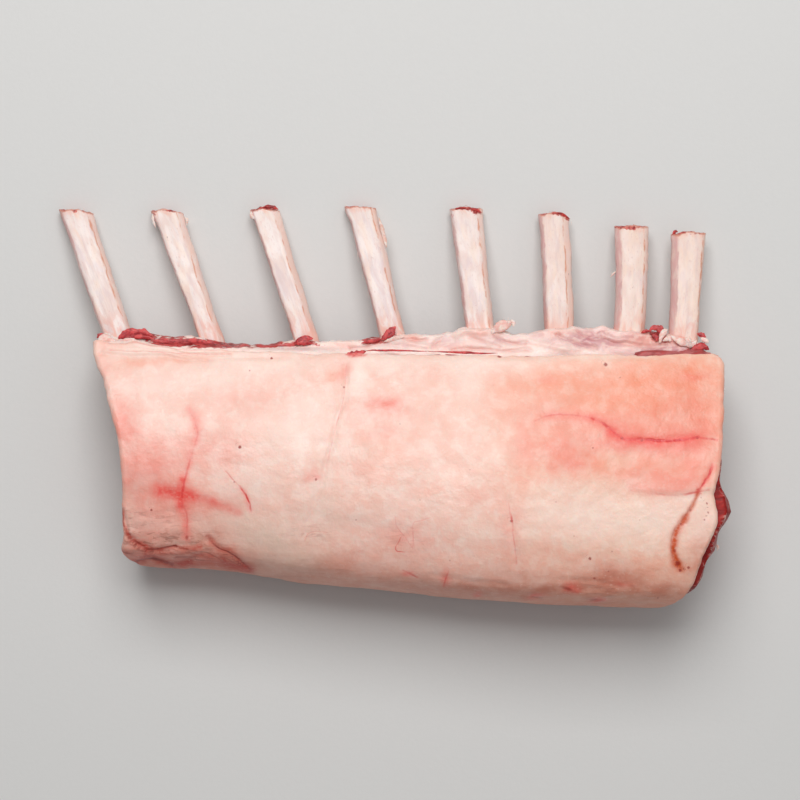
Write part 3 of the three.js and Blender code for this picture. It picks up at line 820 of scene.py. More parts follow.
CREAM = tone(252, 213, 199)
SUNNY = tone(250, 208, 186)
BLUSH = tone(247, 186, 167)
SALMON = tone(245, 126, 108)
APRICOT = tone(248, 142, 104)
MILK = tone(255, 233, 221)
ASH = tone(222, 198, 180)
UMBER = tone(194, 102, 76)
BLOOD = tone(222, 44, 48)
SOAKED = tone(246, 84, 74)
RUSTY = tone(208, 84, 34)
FOLDED_RED_AND_SHADE = tone(200, 60, 40)
DUSKY_AND_FOLD_SHADE = tone(150, 48, 34)
SIDE_FAT_AND_SHADE = tone(224, 124, 88)
SPECK = tone(156, 40, 28)
STREAK = tone(196, 116, 94)
CRINKLE_SHADE = tone(164, 84, 64)
CRINKLE_TOP_LIGHT = tone(240, 204, 184)
FAT_LAYER = tone(232, 158, 142)


def fat_look():
    """Moist pale fat with blushes, soaked-in blood, thin blood lines and dusky folds; its lower side, folds
    and crinkles carry painted shade, and some pale flecks and crinkle tops are painted highlights.
    """
    look = Look("moist_fat")
    broad = look.grain(15, 3.0, 1, twist=0.2)
    middle = look.grain(5, 4.0, 2, twist=0.2)
    fine = look.grain(1.7, 3.0, 3)
    wrinkles = look.grain((7, 1.6, 1.6), 3.0, 4, twist=0.3)
    right = look.mask("right")
    look.colour = look.blend(right, CREAM, SUNNY)
    look.coat(BLUSH, look.span(broad, 0.38, 0.62), 0.35)
    look.coat(BLUSH, look.span(middle, 0.4, 0.64), 0.3)
    look.coat(MILK, look.fall(middle, 0.36, 0.52), 0.25)
    look.coat(MILK, look.span(fine, 0.52, 0.7), 0.22)
    side = look.mask("side")
    # Painted shade: the lower rounded side is browned and darkened, more so to the right; partly the side
    # fat's own browner colour.
    look.coat(SIDE_FAT_AND_SHADE, side, look.span(right, 0.0, 1.0, 0.7, 0.95))
    patchy = look.span(middle, 0.3, 0.7, 0.78, 1.15)
    for name, paint, share in (("pale", MILK, 0.8), ("peach", APRICOT, 0.85), ("pink", SALMON, 0.8),
                               ("grey", ASH, 0.75), ("brown", UMBER, 0.8)):
        amount = look.math("MULTIPLY", look.times(look.mask(name), patchy), share, clamp=True)
        look.coat(paint, amount)
    blotchy = look.span(look.grain(1.2, 4.0, 16), 0.3, 0.62, 0.8, 1.1)
    for name, paint in (("blots", SOAKED), ("soaked", SOAKED), ("folds", FOLDED_RED_AND_SHADE), ("rust", RUSTY)):
        amount = look.math("MULTIPLY", look.mask(name), blotchy, clamp=True)
        look.coat(paint, amount)
    ragged = look.times(look.grain(0.7, 2.0, 18), 0.9)
    look.coat(SPECK, look.spots("specks", ragged))
    streaky = look.times(look.span(wrinkles, 0.5, 0.68), look.times(side, 0.35))
    look.coat(STREAK, streaky)
    # Painted shade in the crinkles of the puckered fat, and painted light on the crinkles' tops.
    crinkles = look.grain((4, 1.1, 1.1), 3.0, 19, twist=0.8)
    shade_in_creases = look.times(look.span(crinkles, 0.5, 0.66), look.times(look.mask("puckered"), 0.5))
    look.coat(CRINKLE_SHADE, shade_in_creases)
    low = look.fall(crinkles, 0.3, 0.44)
    light_on_creases = look.times(low, look.times(look.mask("puckered"), 0.3))
    look.coat(CRINKLE_TOP_LIGHT, light_on_creases)
    # Pale flecks all over the fat, stronger on the lower side, where they are painted highlights standing
    # in for small wet glints.
    flecks_and_glints = look.span(look.grain((1.3, 0.8, 0.8), 2.0, 17), 0.62, 0.72)
    look.coat(MILK, flecks_and_glints, look.plus(look.times(side, 0.25), 0.12))
    shake = look.math("SUBTRACT", look.grain(2.4, 3.0, 10), 0.5)
    uneven = look.span(look.grain(3.0, 3.0, 11), 0.3, 0.62, 0.35, 1.1)

    def inked(name, paint):
        """Adds the thin wavering lines of that name, and gives back where they are."""
        away = look.math("ABSOLUTE", look.plus(look.mask(name), look.times(shake, 1.8)))
        core = look.fall(away, 0.2, 1.6)
        core = look.times(core, look.times(look.mask(name + "_ink"), uneven))
        core = look.math("MULTIPLY", core, 1.15, clamp=True)
        look.coat(paint, core)
        return core

    veins = inked("vein", BLOOD)
    # Dark lines: the stains' own dark marks, and painted shade in the lower left folds.
    dark = inked("dusk", DUSKY_AND_FOLD_SHADE)
    layers = look.grain((3.5, 3.5, 1.3), 3.0, 13)
    cut = look.mask("cut")
    look.coat(FAT_LAYER, cut, look.span(layers, 0.5, 0.64, 0.0, 0.4))
    height = look.total((middle, 0.3), (fine, 0.18), (look.times(wrinkles, side), 0.3),
                        (look.grain(0.8, 2.0, 14), 0.08), (look.plus(veins, dark), -0.12))
    wet = look.plus(look.span(look.grain(8, 3.0, 15), 0.35, 0.65, 0.36, 0.5), look.times(veins, -0.1))
    return look.finish(wet, look.bump(height, 0.8), soft=0.2, depth=3.0)


# ---- Loin meat -----------------------------------------------------------------------------------
EYE_Y, EYE_Z, EYE_REACH, EYE_HEIGHT = -40.0, 23.0, 26.0, 15.5

# How far the meat reaches past the cap's edge, in mm at x in mm.
MEAT_EDGE = [
    (-104, -1), (-96, 1.2), (-77, 1.7), (-62, 0.7), (-52, -1), (-6, -1), (6, 0.3), (17, 0.4),
    (40, -0.5), (60, -1), (80, -0.9), (87, 1.2), (96, 1.6), (104, 1.9), (109, 2.7), (112, 1.6),
    (115, 0.2),
]
# How far it swells out of the right cut, in mm at y in mm.
SWELL_OUT = [
    (-70, 0.6), (-66.5, 1.4), (-62, 3), (-59.3, 3.6), (-56, 3.4), (-53.4, 2.9), (-51.6, 3.6),
    (-50, 4.2), (-46.2, 3.3), (-43.1, 2.9), (-41, 4.2), (-39, 5), (-36.5, 5.9), (-33, 4.6), (-29, 2.4),
    (-27, 0.6), (-25, 0.5), (-22, 1.2), (-19, 1.3), (-16.5, 0.8), (-14.5, 0), (25, 0),
]


def meat_swell(y, z):
    low = np.clip((24 - z) / 17, 0, 1)
    high = np.clip((z - 34) / 10, 0, 1)
    return line_of(SWELL_OUT, y) * (1 - low**2) * (1 - 0.6 * high)


def loin_meat():
    """The muscle between fat and ribs, with its two cut ends."""
    us = spaced(176, (0, 2), (0.02, 2), (0.05, 1), (0.95, 1), (0.98, 2), (1, 2))
    vs = spaced(104, (0, 1), (0.4, 1.1), (0.9, 1), (1, 1.6))
    grid, faces = box_grid(us, vs, np.linspace(0, 1, 27), 4)
    u, v, w = grid.T
    x = mix(BODY_LEFT, BODY_RIGHT, u)
    top_y, top_z = fat_point(x, v, fat_thickness(v) + GAP)
    foot = tissue_top(x, chine(x)) + GAP
    low_y = row(v, 1 / 18, chine(x) - foot * CHINE_LEAN, chine(x), cap_edge(x) - 0.8)
    z = mix(tissue_top(x, low_y) + GAP, top_z, w)
    at_edge = smooth(v, 0.975, 1)
    shown_x = mix(left_cut(x, cap_edge(x)), right_cut(x, cap_edge(x)), u)
    y = mix(low_y, top_y, w) + at_edge * line_of(MEAT_EDGE, shown_x)
    swell = smooth(u, 0.985, 1) * meat_swell(y, z)
    points = np.stack([mix(left_cut(x, y) + GAP, right_cut(x, y) - GAP, u) + swell, y, z], -1)
    level = points * (0, 1, 1)
    eye = np.hypot((y - EYE_Y) / EYE_REACH, (z - EYE_Z) / EYE_HEIGHT) + 0.07 * noise(level, 9, 31)
    seam = (eye - 1) * 12
    layer = w + 0.08 * noise(level, 12, 32) + 0.03 * noise(level, 4, 33)
    flank = smooth(y, -20, -8)
    bands = np.cos(layer * 2 * np.pi * 2.6) * flank
    at_end = np.maximum(1 - smooth(u, 0, 0.004), smooth(u, 0.996, 1))
    outwards = np.where(u > 0.5, 1, -1)
    under_fat = smooth(z, 27, 31)
    grainy = 0.35 * rough(points, 7, 34) - 0.5 * bell(seam, 1.1) * (1 - under_fat) + 0.3 * bands
    points[:, 0] += outwards * at_end * grainy
    ragged = 0.4 * rough(points, (9, 3, 3), 35) + 0.25 * rough(points, 1.8, 37, 2)
    points[:, 1] += at_edge * ragged
    points[:, 2] += at_edge * 0.3 * rough(points, 3, 39)
    masks = {"seam": seam + 9 * under_fat, "bands": bands, "at_end": at_end, "at_edge": at_edge}
    make_piece("loin_meat_muscle", points, faces, meat_look(), ["loin_meat"], masks)


MUSCLE = tone(180, 44, 40)
DARK_MUSCLE = tone(136, 30, 30)
TENDON = tone(238, 212, 204)
PALE_MUSCLE = tone(190, 84, 76)
PALE_FIBRE = tone(206, 100, 90)
FATTY_LAYER = tone(246, 212, 200)
EDGE_FILM = tone(202, 122, 122)


def meat_look():
    """Wet raw muscle in bundles, with seams of fat and membrane on the cut ends."""
    look = Look("raw_muscle")
    bundles = look.grain((5, 2.2, 2.2), 4.0, 1, twist=0.8)
    fibres = look.grain((2.4, 0.5, 0.5), 3.0, 2, twist=0.4)
    blotch = look.grain(9, 3.0, 3)
    look.colour = look.blend(look.span(bundles, 0.4, 0.62), DARK_MUSCLE, MUSCLE)
    look.coat(PALE_MUSCLE, look.span(blotch, 0.5, 0.7), 0.4)
    look.coat(PALE_FIBRE, look.span(fibres, 0.5, 0.75), 0.15)
    marbling = look.times(look.threads((9, 5, 4), 0.022, 4), look.span(look.grain(7, 2.0, 5), 0.48, 0.58))
    at_end = look.mask("at_end")
    look.coat(TENDON, marbling, look.times(at_end, 0.75))
    seam = look.math("ABSOLUTE", look.shaken(look.mask("seam"), blotch, 3.0))
    seam = look.times(look.fall(seam, 0.5, 1.3), at_end)
    look.coat(TENDON, seam, 0.9)
    bands = look.shaken(look.mask("bands"), bundles, 1.2)
    fatty = look.times(look.span(bands, 0.05, 0.35), at_end)
    look.coat(FATTY_LAYER, fatty)
    film = look.span(look.grain((8, 2.4, 2), 3.0, 6, twist=0.6), 0.38, 0.6, 0.25, 0.8)
    look.coat(EDGE_FILM, film, look.mask("at_edge"))
    height = look.total((bundles, 0.3), (fibres, 0.1), (seam, 0.2))
    wet = look.span(look.grain(4, 3.0, 7), 0.35, 0.65, 0.3, 0.46)
    return look.finish(wet, look.bump(height, 0.6), soft=0.15, depth=1.6, shine=0.15)


# ---- Flank tissue that holds the ribs ------------------------------------------------------------
# Its torn edge, as seen from above: x and y in mm.
TORN_EDGE = [
    (-106, 22.4), (-103.3, 24.6), (-97, 24.4), (-93, 26), (-86, 25.8), (-83, 24.6), (-68, 24.4),
    (-58.6, 22), (-46.5, 21.2), (-36, 22.8), (-14.6, 22.6), (-4, 24.1), (4.9, 25.3), (17.3, 25),
    (22, 26), (26, 27.3), (37, 27.4), (40.5, 26.2), (43, 25.1), (48.5, 25), (53, 26.4), (56, 27.2),
    (65, 28), (70.5, 27.1), (75, 28.2), (80, 26.6), (91.7, 26.2), (98, 25.4), (103, 24.6), (107, 23.2),
    (109.5, 21.8), (113, 20.4),
]


def rib_nearness(x, y):
    """0 at the nearest rib's middle line, 1 at its side, and more between the ribs."""
    near = np.full(x.shape, 9.0)
    for rib in RIBS:
        width = mix(rib["base"], rib["tip"], smooth(y, BARE_FROM, rib["y"]))
        near = np.minimum(near, np.abs(x - rib_x(rib, y)) / (width / 2))
    return near


def flank_tissue():
    """The slab of meat, fat and membrane round the ribs, its torn edge, its lining and its saw cut."""
    us = spaced(372, (0, 1.5), (0.02, 1), (0.98, 1), (1, 1.5))
    vs = spaced(112, (0, 1.6), (0.08, 1.2), (0.12, 0.7), (0.75, 0.7), (0.85, 2.6), (1, 2.6))
    grid, faces = box_grid(us, vs, np.linspace(0, 1, 11), 1)
    u, v, w = grid.T
    x = mix(BODY_LEFT, BODY_RIGHT, u)
    at_edge = mix(left_cut(x, 24) + 0.8, right_cut(x, 24) - 0.8, u)
    edge = line_of(TORN_EDGE, at_edge) + 0.35 * noise(np.stack([x, 0 * x, 0 * x], -1), 2.6, 41)
    start = chine(x) - CHINE_LEAN * mix(RIBS_STAND_OUT, tissue_top(x, chine(x)), w)
    y = row(v, 1 / 8, start, chine(x), edge)
    wide = mix(left_cut(x, y) + 0.8, right_cut(x, y) - 0.8, u)
    inside = rib_inside(wide, np.maximum(y, chine(x)))
    near = rib_nearness(wide, y)
    cover = np.sqrt(np.clip(1.25 - near**2, 0, 1))
    low = np.maximum(inside + RIBS_STAND_OUT - 1.55 * cover, 0.03)
    flat = np.stack([wide, y, 0 * y], -1)
    low += (0.3 * rough(flat, 8, 42) + 0.12 * rough(flat, 2.5, 45)) * smooth(near, 0.8, 1.5)
    shown = smooth(y, cap_edge(x) - 2, cap_edge(x))
    sag = 1.7 * smooth(v, 0.86, 1) ** 2
    uneven = 0.5 * noise(flat, 8, 46) + 0.14 * rough(flat, (6, 2.6, 3), 49)
    top = tissue_top(x, y) - sag + shown * uneven
    edge_y = cap_edge(x)
    under_cap = smooth(y, edge_y - 6, edge_y - 3) * (1 - smooth(y, edge_y, edge_y + 2.5))
    top += UNDER_CAP * under_cap * (1 - smooth(x, -20, -5))
    places = seen(np.stack([wide, y, top], -1))
    for depth, half, line in split_marks(CREASES):
        top += shown * depth * bell(off_line(places + 1.5 * noise(flat, 4, 56)[:, None], line)[1], half)
    top += shown * 0.9 * hump(near, 0, 1.7) * smooth(v, 0.86, 0.97)
    belly = np.sin(np.pi * w) * 0.8 * smooth(v, 0.97, 1)
    points = np.stack([wide, y + belly, mix(low, top, w)], -1)
    ragged = 0.3 * rough(points, 2.4, 51) + 0.3 * noise(points, (9, 9, 1.2), 54)
    points[:, 1] += smooth(v, 0.97, 1) * ragged
    at_end = np.maximum(1 - smooth(u, 0, 0.003), smooth(u, 0.997, 1))
    masks = {
        "near": near, "below": 1 - smooth(w, 0, 0.35), "sawn": 1 - smooth(v, 1 / 9, 1 / 8),
        "at_end": at_end, "torn": smooth(v, 0.985, 1) * (1 - smooth(w, 0.3, 0.7)),
        "purple": patches(places, PURPLE), "bloody": patches(places, BLOODY),
        "orange": patches(places, ORANGE),
        "creased": streaks(places, [(0.6, 0.7, *row[2:]) for row in CREASES if row[0] < 0]),
    }
    make_piece("flank_tissue_slab", points, faces, tissue_look(), ["flank_tissue"], masks)


UNDER_CAP = 3.6  # how far the tissue swells up against the cap's edge at the left, in mm
# Creases (below 0) and ridges in the strip of tissue along the ribs, given as the fat's folds are.
CREASES = [
    (0.7, 1.2, 455, 335, 463, 332, 474, 331.5, 486, 332, 493, 335),
    (-0.7, 0.7, 494, 336, 502, 340, 513, 343, 526, 344), (-0.5, 0.6, 432, 348, 438, 342, 444, 336),
    (-0.7, 0.7, 556, 334, 566, 340, 580, 345, 597, 348.5),
    (0.6, 1.0, 600, 334, 612, 338, 626, 340, 640, 343),
    (-0.7, 0.7, 605, 341, 622, 344, 640, 346, 660, 346.5, 680, 345),
    (-0.6, 0.6, 640, 331, 652, 336, 668, 341, 684, 345, 697, 344),
    (-0.5, 0.6, 350, 348, 366, 347, 384, 344, 398, 346), (0.5, 1.0, 400, 341, 415, 344, 430, 347),
    (-0.4, 0.6, 470, 338, 486, 342, 500, 347), (-0.5, 0.6, 452, 350, 476, 349, 500, 350.5, 530, 350),
    (0.5, 0.9, 530, 341, 548, 345, 566, 349), (-0.4, 0.5, 404, 337, 416, 340, 426, 339),
    (-0.5, 0.6, 577, 331, 586, 337, 600, 340),
]
# Soft patches on it: x, y, reach across, reach down, strength.
PURPLE = [
    (592, 336, 20, 7, 1.0), (584, 343, 16, 6, 0.7), (560, 340, 18, 6, 0.5), (632, 337, 16, 6, 0.4),
    (500, 340, 20, 5, 0.4), (445, 342, 16, 5, 0.4), (672, 346, 18, 6, 0.4), (400, 345, 20, 4, 0.3),
    (610, 345, 14, 6, 0.6), (300, 349, 40, 2, 0.3), (668, 351.5, 40, 4.5, 1.0), (540, 334, 12, 4, 0.3),
]
BLOODY = [
    (140, 335, 22, 6, 0.95), (128, 332, 12, 5, 0.8), (170, 342, 22, 5, 0.95), (205, 343.5, 26, 5, 0.95),
    (234, 345.6, 18, 2.4, 0.9), (305, 341, 13, 4, 0.8), (372, 341, 12, 3.5, 0.8), (388, 333, 9, 7, 0.8),
    (655, 334, 8, 7, 0.9), (700, 351, 12, 6, 1.0), (98, 335, 4, 4, 0.8), (665, 341, 5, 4, 0.4),
    (272, 345.2, 44, 2, 0.9), (690, 352, 12, 3, 0.5),
]
ORANGE = [
    (413, 339, 8, 5, 0.7), (480, 333, 14, 5, 0.6), (560, 333, 16, 4, 0.6), (640, 338, 18, 6, 0.8),
    (682, 337, 14, 6, 0.8), (656, 340, 12, 6, 0.6), (104, 334, 6, 5, 0.6), (450, 347, 30, 4, 0.4),
    (650, 345, 20, 4, 0.4), (400, 330, 5, 4, 0.4), (345, 346, 14, 4, 0.4), (604, 332, 8, 4, 0.4),
]

PEARL = tone(253, 230, 221)
ROSE = tone(240, 158, 140)
MAUVE = tone(196, 122, 130)
RIB_IVORY = tone(238, 212, 196)
PINK_PEARL = tone(250, 206, 192)
PEARL_GLINT = tone(255, 245, 240)
CREASE_RED_AND_SHADE = tone(214, 124, 114)
PALE_SHRED = tone(200, 78, 76)
MEMBRANE = tone(226, 168, 160)
DULL_IVORY = tone(226, 186, 172)
PORE = tone(120, 36, 32)
MARROW = tone(216, 158, 140)
SAWN_BONE = tone(240, 222, 204)
CUT_RED = tone(150, 52, 50)
CUT_FAT = tone(244, 208, 196)


def tissue_look():
    """Pale membrane and fat above, with painted highlights and partly painted shade in its creases, red
    muscle between lined ribs below, and sawn rib ends.
    """
    look = Look("flank_tissue_membrane")
    broad = look.grain((9, 5, 5), 3.0, 1, twist=0.8)
    fine = look.grain((3.2, 1.9, 2), 4.0, 2, twist=0.4)
    silk = look.grain((1.2, 6, 2), 3.0, 3, twist=0.5)
    look.colour = look.blend(look.times(look.span(broad, 0.42, 0.62), 0.25), PEARL, PINK_PEARL)
    # Painted highlights: whiter flecks on the wet membrane.
    look.coat(PEARL_GLINT, look.span(fine, 0.5, 0.66), 0.5)
    # The creases are painted a deeper rose: partly the membrane's colour in them, partly painted shade.
    creased = look.times(look.mask("creased"), look.span(broad, 0.36, 0.6, 0.3, 1.0))
    look.coat(CREASE_RED_AND_SHADE, creased, 0.55)
    look.coat(ROSE, look.mask("orange"), look.span(fine, 0.3, 0.6, 0.4, 1.0))
    look.coat(MAUVE, look.mask("purple"), look.span(fine, 0.35, 0.6, 0.4, 1.0))
    red = look.span(look.shaken(look.mask("bloody"), fine, 1.6), 0.32, 0.6)
    meat = look.blend(look.span(fine, 0.4, 0.6), DARK_MUSCLE, PALE_SHRED)
    look.coat(meat, red)
    torn = look.times(look.mask("torn"), look.span(look.grain((6, 2, 1.4), 3.0, 4), 0.36, 0.5))
    look.coat(meat, torn)
    near = look.shaken(look.mask("near"), broad, 0.5)
    muscle = look.span(look.grain((5, 1.1, 3), 4.0, 5, twist=0.6), 0.38, 0.62)
    between = look.blend(muscle, DARK_MUSCLE, MUSCLE)
    film = look.span(look.grain((11, 4, 5), 4.0, 6, twist=1.0), 0.5, 0.66, 0.0, 0.65)
    between = look.blend(film, between, MEMBRANE)
    ribs = look.blend(look.span(silk, 0.4, 0.66), DULL_IVORY, RIB_IVORY)
    lining = look.blend(look.span(near, 0.85, 1.25), ribs, between)
    look.coat(lining, look.mask("below"))
    pores = look.span(look.grain(0.9, 2.0, 7), 0.42, 0.6)
    marrow = look.blend(pores, PORE, MARROW)
    sawn_rib = look.blend(look.span(look.mask("near"), 0.55, 0.72), marrow, SAWN_BONE)
    sawn = look.blend(look.span(look.mask("near"), 0.9, 1.0), sawn_rib, meat)
    look.coat(sawn, look.mask("sawn"))
    layers = look.span(look.grain((30, 5, 1.6), 3.0, 8, twist=0.4), 0.42, 0.58)
    cut = look.blend(layers, CUT_RED, CUT_FAT)
    look.coat(cut, look.mask("at_end"))
    height = look.total((fine, 0.4), (silk, 0.15), (look.grain(0.9, 2.0, 9), 0.12))
    wet = look.span(look.grain(5, 3.0, 10), 0.35, 0.65, 0.24, 0.42)
    return look.finish(wet, look.bump(height, 0.5), soft=0.25, depth=2.4, shine=0.35)


# ---- Ribs ----------------------------------------------------------------------------------------
SECTION_POINTS = 56
BARE_STEP = 0.45  # from one ring of points to the next, along the bared length
BURIED_RINGS = 16
APART = 40.0  # in mm, so that no rib has the noise of another
# The rings across a cut end: how large a share of the section, and how far it sinks in, in mm.
CUT_END = ((0.9, -0.12), (0.72, 0.0), (0.6, 0.45), (0.3, 0.7))
# Raw places on the cut ends: x, y, reach across, reach down, strength.
RAW_ENDS = [
    (75, 211, 3.5, 2.4, 0.7), (84.6, 208.5, 2, 2, 0.6), (172, 210.5, 9, 1.7, 0.8), (154, 214, 2, 3, 0.6),
    (267, 207.5, 11, 2.2, 1.0), (345, 205, 3, 1.4, 0.5), (466, 208.5, 12, 2, 0.75),
    (476, 212.5, 6, 3, 0.85), (452, 215, 2.4, 3, 0.5), (556, 213, 6, 2, 0.7), (563, 215.5, 6, 2.6, 0.8),
    (568, 219, 3, 2.6, 0.7), (626, 227.5, 17, 1.5, 0.7), (632, 228.5, 6, 2, 0.7), (645, 232, 3, 2, 0.5),
    (674, 228, 3, 3, 0.7), (696, 234, 8, 1.4, 0.6),
]


def rib_section(face):
    """The outline across a rib: across from -1 to 1, up from 0 to 1, and how far round each point is."""
    left, right = face
    outline = [
        (0, 0), (0.5, 0.02), (0.86, 0.14), (1, 0.4), (0.97, 0.66), (right, 0.96),
        (mix(left, right, 0.5), 1),
        (left, 0.96), (-0.97, 0.66), (-1, 0.4), (-0.86, 0.14), (-0.5, 0.02), (0, 0),
    ]
    outline = np.array(outline)
    length = np.concatenate([[0], np.cumsum(np.hypot(*np.diff(outline, axis=0).T))])
    at = np.linspace(0, length[-1], SECTION_POINTS, endpoint=False)
    section = np.stack([np.interp(at, length, outline[:, n]) for n in (0, 1)], -1)
    for _ in range(2):
        section = 0.25 * np.roll(section, 1, 0) + 0.5 * section + 0.25 * np.roll(section, -1, 0)
    section[:, 0] /= np.abs(section[:, 0]).max()
    section[:, 1] = (section[:, 1] - section[:, 1].min()) / np.ptp(section[:, 1])
    return section, at / length[-1]


def rib_bone(number, rib):
    """One rib: a flat-faced bar along the arc, with a ragged cut end and marrow in it."""
    section, round_share = rib_section(rib["face"])
    back_x = rib_x(rib, chine(rib["x"]))
    back = chine(back_x)
    bare_rings = int((rib["y"] - BARE_FROM + 4) / BARE_STEP)
    ring_y = np.concatenate([
        np.linspace(back - 5, BARE_FROM - 4, BURIED_RINGS, endpoint=False),
        np.linspace(BARE_FROM - 4, rib["y"], bare_rings),
    ])
    across, up = section.T
    y = np.broadcast_to(ring_y[:, None], (len(ring_y), SECTION_POINTS)).copy()
    height = np.broadcast_to(RIB_THICKNESS * up, y.shape)
    left_drop, right_drop = rib["drop"]
    drop = np.where(across < 0, left_drop, right_drop) * np.abs(across) ** 1.6
    flat = np.stack([across * 5, height[0], np.full(SECTION_POINTS, number * APART)], -1)
    broken = rib["raw"] * 1.1 * smooth(up, 0.7, 1) * (0.6 + 0.8 * rough(flat, 2.5, 58))
    chips = 0.42 * rough(flat, 1.4, 60, 2) - broken
    share = np.clip((y - BARE_FROM) / (rib["y"] - BARE_FROM), 0, 1)
    y += share**6 * (chips - drop - TIP_SLANT * height + 0.7)
    bow = rib["bow"] * np.sin(np.pi * share)
    width = mix(rib["base"], rib["tip"], smooth(y, BARE_FROM, rib["y"]))
    middle = rib_x(rib, y)
    inside = rib_inside(middle, np.maximum(y, back))
    buried = smooth(BARE_FROM - y, 2, 6)
    left_flare, right_flare = rib["flare"]
    flare = np.where(across < 0, left_flare, right_flare) * np.abs(across)
    flare = flare * smooth(y, rib["y"] - 6.5, rib["y"] - 1)
    half = width / 2 * (1 - 0.05 * buried) + flare
    lengthwise = np.stack([across * 5 + 0 * y, y, height + APART * number], -1)
    wobble = 0.26 * noise(lengthwise, (30, 6, 30), 61) + 0.13 * noise(lengthwise, (3, 2.2, 3), 62)
    flutes = 0.09 * rough(lengthwise, (1.5, 18, 2), 63) + 0.12 * noise(lengthwise, (3, 7, 3), 66)
    x = middle + bow + across * (half + wobble * (1 - buried))
    z = inside + 0.45 * buried + height * (1 - 0.1 * buried) + flutes * (up - 0.3) * (1 - buried)
    rings = [np.stack([x, y, np.maximum(z, 0)], -1)]
    centre = rings[0][-1].mean(0)
    for inwards, sink in CUT_END:
        cap = mix(centre, rings[0][-1], inwards)
        cap[:, 1] += -sink + 0.22 * noise(cap, 0.9, 67)
        rings.append(cap[None])
    points = np.concatenate([r.reshape(-1, 3) for r in rings])
    count = len(points) // SECTION_POINTS
    index = np.arange(len(points)).reshape(count, SECTION_POINTS)
    turned = np.roll(index, -1, axis=1)
    faces = tube_faces(index)[:, ::-1].tolist()
    ends = np.array([rings[0][0].mean(0), centre - (0, 0.75, 0)])
    last = len(points)
    faces += [[int(last), int(b), int(a)] for a, b in zip(turned[0], index[0])]
    faces += [[int(last + 1), int(a), int(b)] for a, b in zip(turned[-1], index[-1])]
    points = np.concatenate([points, ends])
    rings_of = np.repeat(np.arange(count), SECTION_POINTS)
    inner = np.concatenate([np.clip((rings_of - len(ring_y) + 1) / 2.0, 0, 1), [0, 1]])
    ring_across = np.concatenate([np.tile(across, count), [0, 0]])
    around = np.concatenate([np.tile(round_share * 30, count), [0, 0]])
    grain = np.stack([around, points[:, 1], np.full(len(points), 25.0 * number)], -1)
    left, right = rib["face"]
    beyond = np.zeros(len(points) - ring_y.size * SECTION_POINTS)
    to_end = np.concatenate([(ring_y[-1] - ring_y).repeat(SECTION_POINTS), beyond])
    masks = {
        "grain": grain, "inner": inner, "right_of": ring_across - right, "left_of": left - ring_across,
        "end": to_end, "right": smooth(points[:, 0], 0, 100), "raw": patches(seen(points), RAW_ENDS),
        "tip": smooth(points[:, 1], rib["y"] - 7, rib["y"]),
        "foot": 1 - smooth(points[:, 1], BARE_FROM, BARE_FROM + 10),
    }
    make_piece(f"bone_{number}", points, faces, BONE_LOOK, [f"rib_bone_{number}"], masks)


BONE_WHITE = tone(245, 229, 223)
BONE_PINK = tone(240, 216, 208)
BONE_WARM = tone(236, 206, 190)
BRUISE = tone(218, 196, 202)
BONE_CREAM = tone(250, 220, 198)
SCRAPE = tone(208, 178, 180)
BONE_SPECKLE = tone(212, 172, 166)
RIGHT_FACET_AND_SHADE = tone(244, 206, 192)
LEFT_FACET_AND_SHADE = tone(224, 176, 172)
RIGHT_RIDGE = tone(216, 132, 92)
LEFT_RIDGE = tone(196, 126, 128)
FOOT = tone(243, 172, 152)
DOT = tone(160, 132, 140)
TIP = tone(243, 182, 158)
DARK_PULP = tone(150, 40, 42)
PULP = tone(218, 112, 100)
RIM = tone(204, 122, 100)


